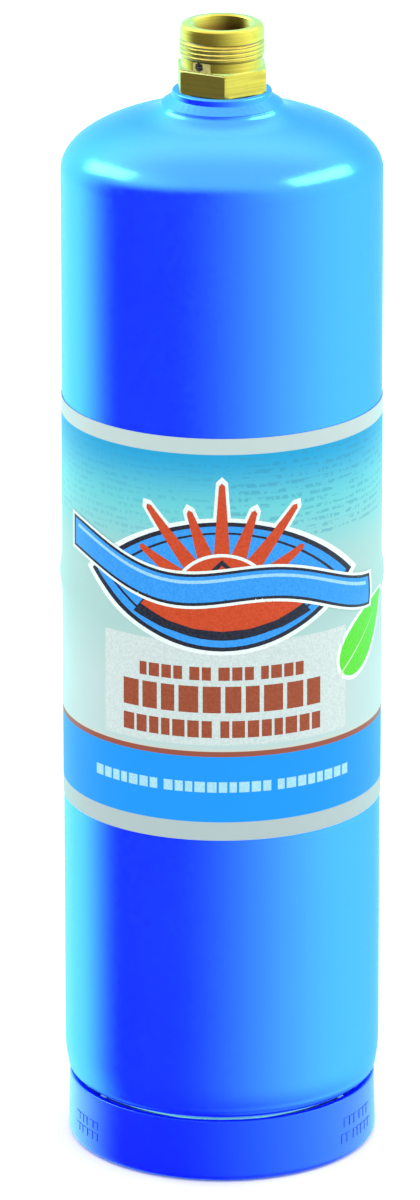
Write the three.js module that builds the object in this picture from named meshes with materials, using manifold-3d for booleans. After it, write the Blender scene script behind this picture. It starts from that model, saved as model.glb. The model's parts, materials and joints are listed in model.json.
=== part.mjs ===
// A slim refillable propane cylinder: a welded two-part steel shell standing on a rolled foot ring,
// with a brass outlet valve screwed into its neck. Inside the valve are a sprung check core, a sprung
// relief poppet and a bleed screw fed by a dip tube.
// Millimetres, +Z up. The origin is the centre of the foot, on the ground. The front is -Y.
import * as THREE from "three";
import { mergeVertices } from "three/addons/utils/BufferGeometryUtils.js";
import Module from "manifold-3d";

const wasm = await Module();
wasm.setup();

// ---------------------------------------------------------------- driving dimensions

const GAP = 0.3; // clearance between neighbouring pieces
const SKIN_GAP = 0.06; // clearance under thin layers that follow the shell
const SHELL_SEGMENTS = 40; // facets round the shell and the ring
const VALVE_SEGMENTS = 32; // facets round the neck and the valve
const SMALL_SEGMENTS = 16; // facets round the pieces inside the valve

// Shell
const BODY_R = 38.1;
const WALL = 1.6;
const BOTTOM_APEX_Z = 6.7; // lowest point of the bottom head
const CROWN_R = 72.2; // spherical radius of the bottom head
const KNUCKLE_R = 2.8; // radius between the bottom head and the wall
const KNUCKLE_DEG = 60; // how far the knuckle turns before the crown takes over
const WAIST_R = 37.5; // the wall draws in to this above the knuckle
const WAIST_Z = 18.8;
const WAIST_TOP_Z = 25; // above this the wall is at full radius
const SEAM_Z = 143.3; // middle of the girth weld
const SEAM_WIDTH = 10.4; // width of the weld's cap
const SEAM_RISE = 0.55; // how far the cap stands out
const SEAM_ROOT = 2; // open gap between the two shell edges
const LIP_TOP_Z = 149.5; // the lower shell's lip reaches up inside the upper shell
const DOME_Z = 242.6; // the top head starts here
const DOME_HEIGHT = 15.2;
const NECK_BLEND_R = 20; // the dome turns up into the neck from here
const NECK_R = 14.2; // outside of the turned-up neck
const NECK_BLEND_CORNER = new THREE.Vector2(15.1, 256.9); // (radius, height) the blend's curve leans to
const NECK_TOP_Z = 259;

// Foot ring
const RING_R = 37.35;
const RING_TOP_R = 37.05;
const RING_TOP_Z = 15.6;
const RING_THICKNESS = 1.7;
const RING_EDGE_R = 1.7; // rounded edge at the ground
const RING_FLANGE_R = 33.4; // inner radius of the turned-in flange
const TACK_COUNT = 4;
const TACK_SIZE = new THREE.Vector3(0.95, 2.4, 0.85); // half sizes: radial, tangential, vertical
const TACK_R = 33.9;
const TACK_Z = 13.4;

// Label
const LABEL_BOTTOM_Z = 87.8;
const LABEL_TOP_Z = 187.6;
const LABEL_THICKNESS = 0.14;

// Neck boss, with the valve's seal in its top
const BOSS_R = 11.8;
const BOSS_BORE_R = 8.5;
const BOSS_FLANGE_R = 13.4;
const BOSS_BOTTOM_Z = 252.5;
const BOSS_FLANGE_Z = 254.4;
const BOSS_TOP_Z = 262;
const BOSS_EDGE_R = 0.5;
const BOSS_CHAMFER = 1.7;
const NECK_WELD_HEIGHT = 1.6;
const O_RING_R = 9;
const O_RING_Z = BOSS_TOP_Z - 0.25;
const O_RING_WIRE_R = 0.35;

// Valve body
const SHANK_R = 8.2;
const SHANK_BOTTOM_Z = 250;
const HEX_ACROSS_FLATS = 20.3;
const HEX_BOTTOM_Z = BOSS_TOP_Z + GAP;
const HEX_TOP_Z = 267.9;
const HEX_TURN_DEG = 3; // one corner points this far right of the front
const HEX_CHAMFER_R = 11.2; // the corners are turned off to this radius at the ends
const COLLAR_R = 9.65;
const THREAD_BOTTOM_Z = 270.3;
const THREAD_CREST_R = 10.05;
const THREAD_ROOT_R = 9.5;
const THREAD_PITCH = 1.04;
const THREAD_TURNS = 5;
const THREAD_TOP_Z = THREAD_BOTTOM_Z + THREAD_PITCH * THREAD_TURNS;
const RIM_Z = 278;
const RIM_R = 9.3;
const RIM_EDGE = 0.25;
const LEAD_IN_R = 9.95; // the smooth lead-in starts at this radius above the thread
const MOUTH_EDGE = 0.3; // bevel inside the rim
const MOUTH_R = 7.2;
const MOUTH_FLOOR_Z = 271.2;
const CORE_BORE_R = 3.4;

// Check core, on the valve's axis
const HOUSING_R = CORE_BORE_R - GAP;
const HOUSING_BOTTOM_Z = 256.5;
const HOUSING_TOP_Z = 272;
const CHAMBER_R = 2.45;
const CHAMBER_TOP_Z = 266.6; // the seat that the seal closes on
const PIN_BORE_R = 1.25;
const PIN_R = 0.8;
const PIN_TIP_Z = 273.4;
const PIN_HEAD_R = 2;
const PIN_HEAD_BOTTOM_Z = 263.6;
const PIN_HEAD_TOP_Z = 264.8;
const PIN_STEM_R = 0.6;
const PIN_STEM_BOTTOM_Z = 256.6;
const SEAL_INNER_R = 1.1;
const SEAL_R = 2.15;
const RETAINER_R = 2.15;
const RETAINER_HOLE_R = 0.95;
const RETAINER_BOTTOM_Z = 256.9;
const RETAINER_TOP_Z = 258.3;
const RETAINER_NOTCHES = 3;
const RETAINER_NOTCH_R = 0.5;
const CORE_SPRING = { coilR: 1.45, wireR: 0.22, turns: 5, bottom: 258.6, top: 263.3 };
const GASKET_INNER_R = 3.5;
const GASKET_R = 5.2;
const GASKET_TOP_Z = 272.6;
const GASKET_CROWN = 0.4; // height of the gasket's rounded top

// Bleed screw, in a radial bore at the front left of the collar, over the dip tube's passage
const BLEED_TURN_DEG = 35; // left of the front
const BLEED_Z = 269.1;
const BLEED_BORE_R = 1.05;
const POCKET_TURN_DEG = 30.5; // the milled pocket round the bleed port
const POCKET_FLOOR_R = 9.34; // distance of its flat floor from the valve's axis
const POCKET_BOTTOM_Z = HEX_TOP_Z - 0.2;
const POCKET_TOP_Z = THREAD_BOTTOM_Z - 0.1;
const BLEED_SEAT_R = 6.3; // distance of the seat from the valve's axis
const PASSAGE_R = 0.55;
const PASSAGE_AXIS_R = 5.6;
const PAD_R = 0.75;
const PAD_START = BLEED_SEAT_R + GAP;
const PAD_END = PAD_START + 0.6;
const SCREW_R = 0.85;
const SCREW_START = PAD_END + GAP;
const SCREW_END = COLLAR_R - 0.6; // opens out to flush with the collar
const SLOT_WIDTH = 0.35;
const SLOT_DEPTH = 0.5;
const TUBE_R = 1.05;
const TUBE_BORE_R = 0.6;
const TUBE_BOTTOM_Z = 200; // the liquid level of a full cylinder
const TUBE_TOP_Z = 254.2;

// Relief valve, in an upright bore opposite the bleed screw
const RELIEF_AXIS_R = 5.8;
const RELIEF_BORE_R = 1.7;
const RELIEF_BORE_TOP_Z = 269.4;
const VENT_R = 0.7;
const VENT_Z = 268.7;
const RELIEF_SEAT_R = RELIEF_BORE_R - GAP;
const RELIEF_ORIFICE_R = 0.7;
const RELIEF_SEAT_BOTTOM_Z = 250.5;
const RELIEF_SEAT_TOP_Z = 253;
const RELIEF_SEAL_R = 1.15;
const RELIEF_SEAL_TOP_Z = 254.1;
const POPPET_R = 1.3;
const POPPET_TOP_Z = 256.2;
const POPPET_STEM_R = 0.5;
const POPPET_STEM_TOP_Z = 263;
const RELIEF_SPRING = { coilR: 1.15, wireR: 0.2, turns: 9, bottom: 256.5, top: 269.1 };

// ---------------------------------------------------------------- materials

const finish = (color, roughness, metalness) =>
  new THREE.MeshStandardMaterial({ color, roughness, metalness });

const BLUE_PAINT = finish(0x1a3cf0, 0.22, 0.3);
const PRINTED_FILM = finish(0x4cc8e0, 0.35, 0);
const BRASS = finish(0xd8bf4e, 0.28, 1);
const STEEL = finish(0xb9bcc2, 0.35, 1);
const RUBBER = finish(0x16171a, 0.85, 0);

// ---------------------------------------------------------------- shapes

const UP = new THREE.Vector3(0, 0, 1);
const rad = THREE.MathUtils.degToRad;
const at = (r, z) => new THREE.Vector2(r, z);

// Points of an elliptical arc about (centreR, centreZ), in profile coordinates (radius, height).
function ellipseArc(centreR, centreZ, halfWidth, halfHeight, fromDeg, toDeg, steps) {
  return Array.from({ length: steps + 1 }, (_, i) => {
    const angle = rad(fromDeg + ((toDeg - fromDeg) * i) / steps);
    return at(centreR + halfWidth * Math.cos(angle), centreZ + halfHeight * Math.sin(angle));
  });
}

const arc = (centreR, centreZ, radius, fromDeg, toDeg, steps) =>
  ellipseArc(centreR, centreZ, radius, radius, fromDeg, toDeg, steps);

// Revolves a profile about Z. A profile off the axis is closed on itself.
function turned(profile, segments) {
  const open = profile[0].x === 0;
  const points = open ? profile : [...profile, profile[0]];
  return new THREE.LatheGeometry(points, segments).rotateX(Math.PI / 2);
}

const rod = (r, bottom, top, segments) =>
  turned([at(0, bottom), at(r, bottom), at(r, top), at(0, top)], segments);

const washer = (innerR, outerR, bottom, top, segments) =>
  turned([at(innerR, bottom), at(outerR, bottom), at(outerR, top), at(innerR, top)], segments);

class Helix extends THREE.Curve {
  constructor({ coilR, wireR, turns, bottom, top }) {
    super();
    this.coilR = coilR;
    this.turns = turns;
    this.start = bottom + wireR;
    this.rise = top - bottom - 2 * wireR;
  }
  getPoint(t, target = new THREE.Vector3()) {
    const angle = 2 * Math.PI * this.turns * t;
    const x = this.coilR * Math.cos(angle);
    const y = this.coilR * Math.sin(angle);
    return target.set(x, y, this.start + this.rise * t);
  }
}

function spring(size) {
  const section = new THREE.Shape().absarc(0, 0, size.wireR, 0, 2 * Math.PI);
  return new THREE.ExtrudeGeometry(section, {
    steps: 10 * size.turns,
    curveSegments: 3,
    bevelEnabled: false,
    extrudePath: new Helix(size),
  });
}

// ---------------------------------------------------------------- joining and cutting

function solid(geometry) {
  const bare = geometry.clone();
  bare.deleteAttribute("normal");
  bare.deleteAttribute("uv");
  const merged = mergeVertices(bare, 1e-4);
  const mesh = new wasm.Mesh({
    numProp: 3,
    vertProperties: merged.attributes.position.array,
    triVerts: new Uint32Array(merged.index.array),
  });
  return new wasm.Manifold(mesh);
}

function geometryOf(manifold) {
  const mesh = manifold.getMesh();
  const geometry = new THREE.BufferGeometry();
  geometry.setAttribute("position", new THREE.BufferAttribute(mesh.vertProperties, 3));
  geometry.setIndex(new THREE.BufferAttribute(mesh.triVerts, 1));
  geometry.computeVertexNormals();
  return geometry;
}

const cut = (geometry, ...tools) =>
  geometryOf(tools.reduce((left, tool) => left.subtract(solid(tool)), solid(geometry)));

// ---------------------------------------------------------------- shell

const domeHeightAt = (r, halfWidth, height) =>
  DOME_Z + height * Math.sqrt(1 - (r / halfWidth) ** 2);

function upperShell() {
  const edgeZ = SEAM_Z + SEAM_ROOT / 2;
  const innerR = BODY_R - WALL;
  const innerHeight = DOME_HEIGHT - WALL;
  const blendDeg = THREE.MathUtils.radToDeg(Math.acos(NECK_BLEND_R / BODY_R));
  const boreR = BOSS_R + GAP;
  const boreDeg = THREE.MathUtils.radToDeg(Math.acos(boreR / innerR));
  const blendStart = at(NECK_BLEND_R, domeHeightAt(NECK_BLEND_R, BODY_R, DOME_HEIGHT));
  const blendEnd = at(NECK_R, NECK_TOP_Z - GAP);
  const blend = new THREE.QuadraticBezierCurve(blendStart, NECK_BLEND_CORNER, blendEnd);
  return turned(
    [
      at(innerR, edgeZ),
      at(BODY_R, edgeZ),
      ...ellipseArc(0, DOME_Z, BODY_R, DOME_HEIGHT, 0, blendDeg, 8),
      ...blend.getPoints(4).slice(1),
      at(NECK_R - GAP, NECK_TOP_Z),
      at(boreR, NECK_TOP_Z),
      ...ellipseArc(0, DOME_Z, innerR, innerHeight, boreDeg, 0, 6),
    ],
    SHELL_SEGMENTS,
  );
}

// Outline of the bottom head from the waist to the axis, at a depth inside the outer surface.
function bottomHead(depth, steps) {
  const knuckle = arc(WAIST_R - KNUCKLE_R, WAIST_Z, KNUCKLE_R - depth, 0, -KNUCKLE_DEG, 3);
  const crownCentreZ = BOTTOM_APEX_Z + CROWN_R;
  const crownR = CROWN_R - depth;
  const edgeDeg = THREE.MathUtils.radToDeg(Math.asin(knuckle[3].x / crownR));
  const crown = arc(0, crownCentreZ, crownR, edgeDeg - 90, -90, steps);
  crown[steps].x = 0;
  return [...knuckle, ...crown.slice(1)];
}

function lowerShell() {
  const edgeZ = SEAM_Z - SEAM_ROOT / 2;
  const innerR = BODY_R - WALL;
  const lipR = innerR - GAP;
  const joggleZ = edgeZ - 2 * WALL;
  return turned(
    [
      ...bottomHead(0, 5).reverse(),
      at(BODY_R, WAIST_TOP_Z),
      at(BODY_R, edgeZ),
      at(lipR, edgeZ + GAP),
      at(lipR, LIP_TOP_Z),
      at(lipR - WALL, LIP_TOP_Z),
      at(lipR - WALL, edgeZ),
      at(innerR, joggleZ),
      at(innerR, WAIST_TOP_Z),
      ...bottomHead(WALL, 4),
    ],
    SHELL_SEGMENTS,
  );
}

// How far the weld's cap stands out at a height: nothing at its edges, most in its middle.
const seamRise = (z) => (SEAM_RISE * (1 + Math.cos((2 * Math.PI * (z - SEAM_Z)) / SEAM_WIDTH))) / 2;

const seamHeights = (steps) =>
  Array.from({ length: steps + 1 }, (_, i) => SEAM_Z + SEAM_WIDTH * (i / steps - 0.5));

const CAP_HEIGHTS = seamHeights(6);

function girthWeld() {
  const rootR = BODY_R - WALL;
  const capR = BODY_R + SKIN_GAP;
  const rootHalf = SEAM_ROOT / 2 - GAP;
  return turned(
    [
      at(rootR, SEAM_Z - rootHalf),
      at(capR, SEAM_Z - rootHalf),
      ...CAP_HEIGHTS.map((z) => at(capR + seamRise(z), z)),
      at(capR, SEAM_Z + rootHalf),
      at(rootR, SEAM_Z + rootHalf),
    ],
    SHELL_SEGMENTS,
  );
}

function labelSleeve() {
  const innerR = BODY_R + 2 * SKIN_GAP;
  const heights = [LABEL_BOTTOM_Z, ...CAP_HEIGHTS, LABEL_TOP_Z];
  const rise = (z) => (CAP_HEIGHTS.includes(z) ? seamRise(z) : 0);
  const inner = heights.map((z) => at(innerR + rise(z), z));
  const outer = heights.map((z) => at(innerR + LABEL_THICKNESS + rise(z), z));
  return turned([...inner.reverse(), ...outer], SHELL_SEGMENTS);
}

// ---------------------------------------------------------------- foot

function footRing() {
  const innerR = RING_R - RING_THICKNESS;
  const bendR = RING_R - RING_EDGE_R;
  const topInnerR = RING_TOP_R - RING_THICKNESS;
  return turned(
    [
      at(RING_FLANGE_R, 0),
      ...arc(bendR, RING_EDGE_R, RING_EDGE_R, -90, 0, 3),
      at(RING_TOP_R, RING_TOP_Z - GAP),
      at(RING_TOP_R - GAP, RING_TOP_Z),
      at(topInnerR, RING_TOP_Z),
      at(innerR, RING_THICKNESS),
      at(RING_FLANGE_R, RING_THICKNESS),
    ],
    SHELL_SEGMENTS,
  );
}

const tackWeld = () => new THREE.SphereGeometry(1, 10, 6).scale(...TACK_SIZE.toArray());

// ---------------------------------------------------------------- neck

function neckBoss() {
  const edgeCentreR = BOSS_R - BOSS_EDGE_R;
  return turned(
    [
      at(BOSS_BORE_R, BOSS_BOTTOM_Z),
      at(BOSS_FLANGE_R, BOSS_BOTTOM_Z),
      at(BOSS_FLANGE_R, BOSS_FLANGE_Z),
      at(BOSS_R, BOSS_FLANGE_Z),
      ...arc(edgeCentreR, BOSS_TOP_Z - BOSS_EDGE_R, BOSS_EDGE_R, 0, 90, 2),
      at(BOSS_BORE_R + BOSS_CHAMFER, BOSS_TOP_Z),
      at(BOSS_BORE_R, BOSS_TOP_Z - BOSS_CHAMFER),
    ],
    VALVE_SEGMENTS,
  );
}

function neckWeld() {
  const bottomZ = NECK_TOP_Z + GAP;
  const innerR = BOSS_R + GAP;
  const width = NECK_R - innerR;
  return turned(
    [at(innerR, bottomZ), ...ellipseArc(innerR, bottomZ, width, NECK_WELD_HEIGHT, 0, 90, 4)],
    VALVE_SEGMENTS,
  );
}

const valveORing = () =>
  turned(arc(O_RING_R, O_RING_Z, O_RING_WIRE_R, 0, 300, 5), VALVE_SEGMENTS);

// ---------------------------------------------------------------- valve body

const sideways = (deg) => new THREE.Vector3(-Math.sin(rad(deg)), -Math.cos(rad(deg)), 0);
const BLEED_DIRECTION = sideways(BLEED_TURN_DEG);
const RELIEF_DIRECTION = BLEED_DIRECTION.clone().negate();

// Local +Z runs outwards along the direction, from the valve's axis at the given height.
function radialFrame(direction, z) {
  const turn = new THREE.Quaternion().setFromUnitVectors(UP, direction);
  return new THREE.Matrix4().compose(
    new THREE.Vector3(0, 0, z),
    turn,
    new THREE.Vector3(1, 1, 1),
  );
}

const BLEED_FRAME = radialFrame(BLEED_DIRECTION, BLEED_Z);
const VENT_FRAME = radialFrame(RELIEF_DIRECTION, VENT_Z);
const PASSAGE_AXIS = BLEED_DIRECTION.clone().multiplyScalar(PASSAGE_AXIS_R);
const RELIEF_AXIS = RELIEF_DIRECTION.clone().multiplyScalar(RELIEF_AXIS_R);

const upright = (geometry, axis) => geometry.translate(axis.x, axis.y, 0);

// The hexagon, with its corners turned off at both ends.
function hexagon() {
  const height = HEX_TOP_Z - HEX_BOTTOM_Z;
  const cornerR = HEX_ACROSS_FLATS / 2 / Math.cos(Math.PI / 6);
  const prism = new THREE.CylinderGeometry(cornerR, cornerR, height, 6)
    .rotateX(Math.PI / 2)
    .rotateZ(rad(HEX_TURN_DEG))
    .translate(0, 0, (HEX_BOTTOM_Z + HEX_TOP_Z) / 2);
  const chamfer = cornerR - HEX_CHAMFER_R;
  const envelope = turned(
    [
      at(0, HEX_BOTTOM_Z),
      at(HEX_CHAMFER_R, HEX_BOTTOM_Z),
      at(cornerR, HEX_BOTTOM_Z + chamfer),
      at(cornerR, HEX_TOP_Z - chamfer),
      at(HEX_CHAMFER_R, HEX_TOP_Z),
      at(0, HEX_TOP_Z),
    ],
    VALVE_SEGMENTS,
  );
  return solid(prism).intersect(solid(envelope));
}

// Shank, collar, thread and lead-in as one turned bar. The thread is rings at its true pitch.
function valveBar() {
  const thread = Array.from({ length: THREAD_TURNS }, (_, i) => {
    const z = THREAD_BOTTOM_Z + THREAD_PITCH * i;
    return [at(THREAD_ROOT_R, z), at(THREAD_CREST_R, z + THREAD_PITCH / 2)];
  }).flat();
  const inHexZ = (HEX_BOTTOM_Z + HEX_TOP_Z) / 2;
  return turned(
    [
      at(0, SHANK_BOTTOM_Z),
      at(SHANK_R - GAP, SHANK_BOTTOM_Z),
      at(SHANK_R, SHANK_BOTTOM_Z + GAP),
      at(SHANK_R, inHexZ),
      at(COLLAR_R, inHexZ),
      at(COLLAR_R, THREAD_BOTTOM_Z - GAP),
      ...thread,
      at(THREAD_ROOT_R, THREAD_TOP_Z),
      at(LEAD_IN_R, THREAD_TOP_Z + GAP),
      at(RIM_R, RIM_Z - RIM_EDGE),
      at(RIM_R - RIM_EDGE, RIM_Z),
      at(0, RIM_Z),
    ],
    VALVE_SEGMENTS,
  );
}

function valveBody() {
  const beyond = 1; // cutters run this far past the face they open
  const below = SHANK_BOTTOM_Z - beyond;
  const outside = THREAD_CREST_R + beyond;
  const mouth = turned(
    [
      at(0, below),
      at(CORE_BORE_R, below),
      at(CORE_BORE_R, MOUTH_FLOOR_Z),
      at(MOUTH_R, MOUTH_FLOOR_Z),
      at(MOUTH_R, RIM_Z - MOUTH_EDGE),
      at(MOUTH_R + MOUTH_EDGE + beyond, RIM_Z + beyond),
      at(0, RIM_Z + beyond),
    ],
    VALVE_SEGMENTS,
  );
  const bleedBore = turned(
    [
      at(0, PASSAGE_AXIS_R),
      at(PASSAGE_R, PASSAGE_AXIS_R),
      at(PASSAGE_R, BLEED_SEAT_R),
      at(BLEED_BORE_R, BLEED_SEAT_R),
      at(BLEED_BORE_R, outside),
      at(0, outside),
    ],
    SMALL_SEGMENTS,
  ).applyMatrix4(BLEED_FRAME);
  const pocket = new THREE.BoxGeometry(2 * COLLAR_R, beyond, POCKET_TOP_Z - POCKET_BOTTOM_Z)
    .translate(0, -POCKET_FLOOR_R - beyond / 2, (POCKET_BOTTOM_Z + POCKET_TOP_Z) / 2)
    .rotateZ(-rad(POCKET_TURN_DEG));
  const tubeSocketR = TUBE_R + GAP;
  const passage = turned(
    [
      at(0, below),
      at(tubeSocketR, below),
      at(tubeSocketR, TUBE_TOP_Z + GAP),
      at(PASSAGE_R, TUBE_TOP_Z + GAP),
      at(PASSAGE_R, BLEED_Z),
      at(0, BLEED_Z),
    ],
    SMALL_SEGMENTS,
  );
  const reliefBore = rod(RELIEF_BORE_R, below, RELIEF_BORE_TOP_Z, SMALL_SEGMENTS);
  const vent = rod(VENT_R, RELIEF_AXIS_R, outside, SMALL_SEGMENTS).applyMatrix4(VENT_FRAME);
  return cut(
    geometryOf(solid(valveBar()).add(hexagon())),
    mouth,
    pocket,
    bleedBore,
    upright(passage, PASSAGE_AXIS),
    upright(reliefBore, RELIEF_AXIS),
    vent,
  );
}

const dipTube = () => washer(TUBE_BORE_R, TUBE_R, TUBE_BOTTOM_Z, TUBE_TOP_Z, SMALL_SEGMENTS);

// ---------------------------------------------------------------- check core

function mouthGasket() {
  const bottomZ = MOUTH_FLOOR_Z + GAP;
  const middleR = (GASKET_INNER_R + GASKET_R) / 2;
  const halfWidth = (GASKET_R - GASKET_INNER_R) / 2;
  const shoulderZ = GASKET_TOP_Z - GASKET_CROWN;
  const crown = ellipseArc(middleR, shoulderZ, halfWidth, GASKET_CROWN, 0, 180, 4);
  return turned([at(GASKET_INNER_R, bottomZ), at(GASKET_R, bottomZ), ...crown], VALVE_SEGMENTS);
}

const coreHousing = () =>
  turned(
    [
      at(CHAMBER_R, HOUSING_BOTTOM_Z),
      at(HOUSING_R, HOUSING_BOTTOM_Z),
      at(HOUSING_R, HOUSING_TOP_Z),
      at(PIN_BORE_R, HOUSING_TOP_Z),
      at(PIN_BORE_R, CHAMBER_TOP_Z),
      at(CHAMBER_R, CHAMBER_TOP_Z),
    ],
    SMALL_SEGMENTS,
  );

// A washer with gas notches round its edge.
function coreRetainer() {
  const ring = washer(
    RETAINER_HOLE_R, RETAINER_R, RETAINER_BOTTOM_Z, RETAINER_TOP_Z, SMALL_SEGMENTS,
  );
  const notches = Array.from({ length: RETAINER_NOTCHES }, (_, i) =>
    rod(RETAINER_NOTCH_R, RETAINER_BOTTOM_Z - 1, RETAINER_TOP_Z + 1, 8)
      .translate(RETAINER_R, 0, 0)
      .rotateZ((2 * Math.PI * i) / RETAINER_NOTCHES),
  );
  return cut(ring, ...notches);
}

const corePin = () =>
  turned(
    [
      at(0, PIN_STEM_BOTTOM_Z),
      at(PIN_STEM_R, PIN_STEM_BOTTOM_Z),
      at(PIN_STEM_R, PIN_HEAD_BOTTOM_Z),
      at(PIN_HEAD_R, PIN_HEAD_BOTTOM_Z),
      at(PIN_HEAD_R, PIN_HEAD_TOP_Z),
      at(PIN_R, PIN_HEAD_TOP_Z),
      at(PIN_R, PIN_TIP_Z - GAP),
      at(PIN_R - GAP, PIN_TIP_Z),
      at(0, PIN_TIP_Z),
    ],
    SMALL_SEGMENTS,
  );

const coreSeal = () =>
  washer(SEAL_INNER_R, SEAL_R, PIN_HEAD_TOP_Z + GAP, CHAMBER_TOP_Z - GAP, SMALL_SEGMENTS);

// ---------------------------------------------------------------- relief valve

const reliefSeat = () =>
  washer(
    RELIEF_ORIFICE_R, RELIEF_SEAT_R, RELIEF_SEAT_BOTTOM_Z, RELIEF_SEAT_TOP_Z, SMALL_SEGMENTS,
  );

const reliefSeal = () =>
  rod(RELIEF_SEAL_R, RELIEF_SEAT_TOP_Z + GAP, RELIEF_SEAL_TOP_Z, SMALL_SEGMENTS);

const reliefPoppet = () =>
  turned(
    [
      at(0, RELIEF_SEAL_TOP_Z + GAP),
      at(POPPET_R, RELIEF_SEAL_TOP_Z + GAP),
      at(POPPET_R, POPPET_TOP_Z),
      at(POPPET_STEM_R, POPPET_TOP_Z),
      at(POPPET_STEM_R, POPPET_STEM_TOP_Z),
      at(0, POPPET_STEM_TOP_Z),
    ],
    SMALL_SEGMENTS,
  );

// ---------------------------------------------------------------- bleed screw

function bleedScrew() {
  const slot = new THREE.BoxGeometry(4 * SCREW_R, SLOT_WIDTH, 2 * SLOT_DEPTH);
  return cut(
    rod(SCREW_R, SCREW_START, SCREW_END, SMALL_SEGMENTS),
    slot.translate(0, 0, SCREW_END),
  );
}

const bleedPad = () => rod(PAD_R, PAD_START, PAD_END, SMALL_SEGMENTS);

// ---------------------------------------------------------------- assembly

function piece(name, geometry, material) {
  const mesh = new THREE.Mesh(geometry, material);
  mesh.name = name;
  return mesh;
}

function shellGroup() {
  return new THREE.Group().add(
    piece("upper_shell", upperShell(), BLUE_PAINT),
    piece("lower_shell", lowerShell(), BLUE_PAINT),
    piece("girth_weld", girthWeld(), BLUE_PAINT),
    piece("label_sleeve", labelSleeve(), PRINTED_FILM),
  );
}

function footGroup() {
  const group = new THREE.Group().add(piece("foot_ring", footRing(), BLUE_PAINT));
  for (let i = 0; i < TACK_COUNT; i++) {
    const angle = (2 * Math.PI * (i + 0.5)) / TACK_COUNT;
    const tack = piece(`foot_tack_weld_${i + 1}`, tackWeld(), BLUE_PAINT);
    tack.position.set(TACK_R * Math.cos(angle), TACK_R * Math.sin(angle), TACK_Z);
    tack.rotation.z = angle;
    group.add(tack);
  }
  return group;
}

function neckGroup() {
  return new THREE.Group().add(
    piece("neck_boss", neckBoss(), BLUE_PAINT),
    piece("neck_weld", neckWeld(), BLUE_PAINT),
    piece("valve_o_ring", valveORing(), RUBBER),
    piece("valve_body", valveBody(), BRASS),
  );
}

function coreGroup() {
  return new THREE.Group().add(
    piece("mouth_gasket", mouthGasket(), RUBBER),
    piece("core_housing", coreHousing(), BRASS),
    piece("core_retainer", coreRetainer(), BRASS),
    piece("core_pin", corePin(), BRASS),
    piece("core_seal", coreSeal(), RUBBER),
    piece("core_spring", spring(CORE_SPRING), STEEL),
  );
}

function reliefGroup() {
  const group = new THREE.Group().add(
    piece("relief_seat", reliefSeat(), BRASS),
    piece("relief_seal", reliefSeal(), RUBBER),
    piece("relief_poppet", reliefPoppet(), BRASS),
    piece("relief_spring", spring(RELIEF_SPRING), STEEL),
  );
  group.position.copy(RELIEF_AXIS);
  return group;
}

function bleedGroup() {
  const radial = new THREE.Group().add(
    piece("bleed_screw", bleedScrew(), BRASS),
    piece("bleed_pad", bleedPad(), RUBBER),
  );
  radial.applyMatrix4(BLEED_FRAME);
  const tube = piece("dip_tube", dipTube(), BRASS);
  tube.position.copy(PASSAGE_AXIS);
  return new THREE.Group().add(radial, tube);
}

const cylinder = new THREE.Group().add(
  shellGroup(),
  footGroup(),
  neckGroup(),
  coreGroup(),
  reliefGroup(),
  bleedGroup(),
);

export default cylinder;
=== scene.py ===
"""Looks for the slim propane cylinder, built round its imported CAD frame.

The row frame is in metres, +Z up, with the front at -Y. Shapes here are written in millimetres and
scaled as each mesh is made, so that they read like the CAD source.
"""

import json
import math

import bmesh
import bpy
from mathutils import Matrix, Vector

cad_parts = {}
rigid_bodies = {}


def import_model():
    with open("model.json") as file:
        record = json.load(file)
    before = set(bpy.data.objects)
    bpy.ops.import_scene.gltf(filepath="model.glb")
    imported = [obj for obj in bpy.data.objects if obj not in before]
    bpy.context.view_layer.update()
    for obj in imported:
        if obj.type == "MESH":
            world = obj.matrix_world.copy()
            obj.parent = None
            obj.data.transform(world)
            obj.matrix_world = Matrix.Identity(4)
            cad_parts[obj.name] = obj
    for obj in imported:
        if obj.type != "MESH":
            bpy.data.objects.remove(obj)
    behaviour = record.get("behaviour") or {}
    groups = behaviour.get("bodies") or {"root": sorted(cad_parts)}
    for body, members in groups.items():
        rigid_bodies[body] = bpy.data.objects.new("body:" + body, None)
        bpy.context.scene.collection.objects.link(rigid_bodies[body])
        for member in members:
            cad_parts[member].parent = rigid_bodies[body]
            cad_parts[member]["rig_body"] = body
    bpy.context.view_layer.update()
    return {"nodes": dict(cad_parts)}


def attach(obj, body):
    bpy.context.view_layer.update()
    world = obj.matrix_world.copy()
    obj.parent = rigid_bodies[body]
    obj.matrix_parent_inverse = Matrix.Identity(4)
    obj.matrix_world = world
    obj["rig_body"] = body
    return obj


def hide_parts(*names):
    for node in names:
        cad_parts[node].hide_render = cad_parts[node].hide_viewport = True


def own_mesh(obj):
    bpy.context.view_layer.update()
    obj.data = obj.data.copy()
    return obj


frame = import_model()

MM = 0.001

# ---- driving dimensions, in millimetres

SHELL_SEGMENTS = 192
VALVE_SEGMENTS = 144
SMALL_SEGMENTS = 48

# Clearance between separate pieces
GAP = 0.3

# Shell
BODY_R = 38.1
WALL = 1.6
BOTTOM_APEX_Z = 6.7
CROWN_R = 72.2
KNUCKLE_R = 2.8
KNUCKLE_DEG = 60
WAIST_R = 37.5
WAIST_Z = 18.8
WAIST_TOP_Z = 25
SEAM_Z = 143.3
SEAM_WIDTH = 10.4
SEAM_RISE = 0.55
SEAM_ROOT = 2
LIP_TOP_Z = 149.5
DOME_Z = 242.6
DOME_HEIGHT = 15.2
SHOULDER_Z = 250
NECK_BLEND_R = 20
NECK_BLEND_CORNER = (15.1, 256.9)
NECK_R = 14.2
NECK_TOP_Z = 259

# Foot ring
RING_R = 37.35
RING_TOP_R = 37.05
RING_TOP_Z = 15.6
RING_THICKNESS = 1.7
RING_EDGE_R = 1.7
RING_FLANGE_R = 33.4
RING_LIP_R = 0.4
RING_TOE_R = 0.3

# Label
LABEL_BOTTOM_Z = 87.8
LABEL_TOP_Z = 187.6
LABEL_R = BODY_R + 0.06
LABEL_THICKNESS = 0.1

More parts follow.
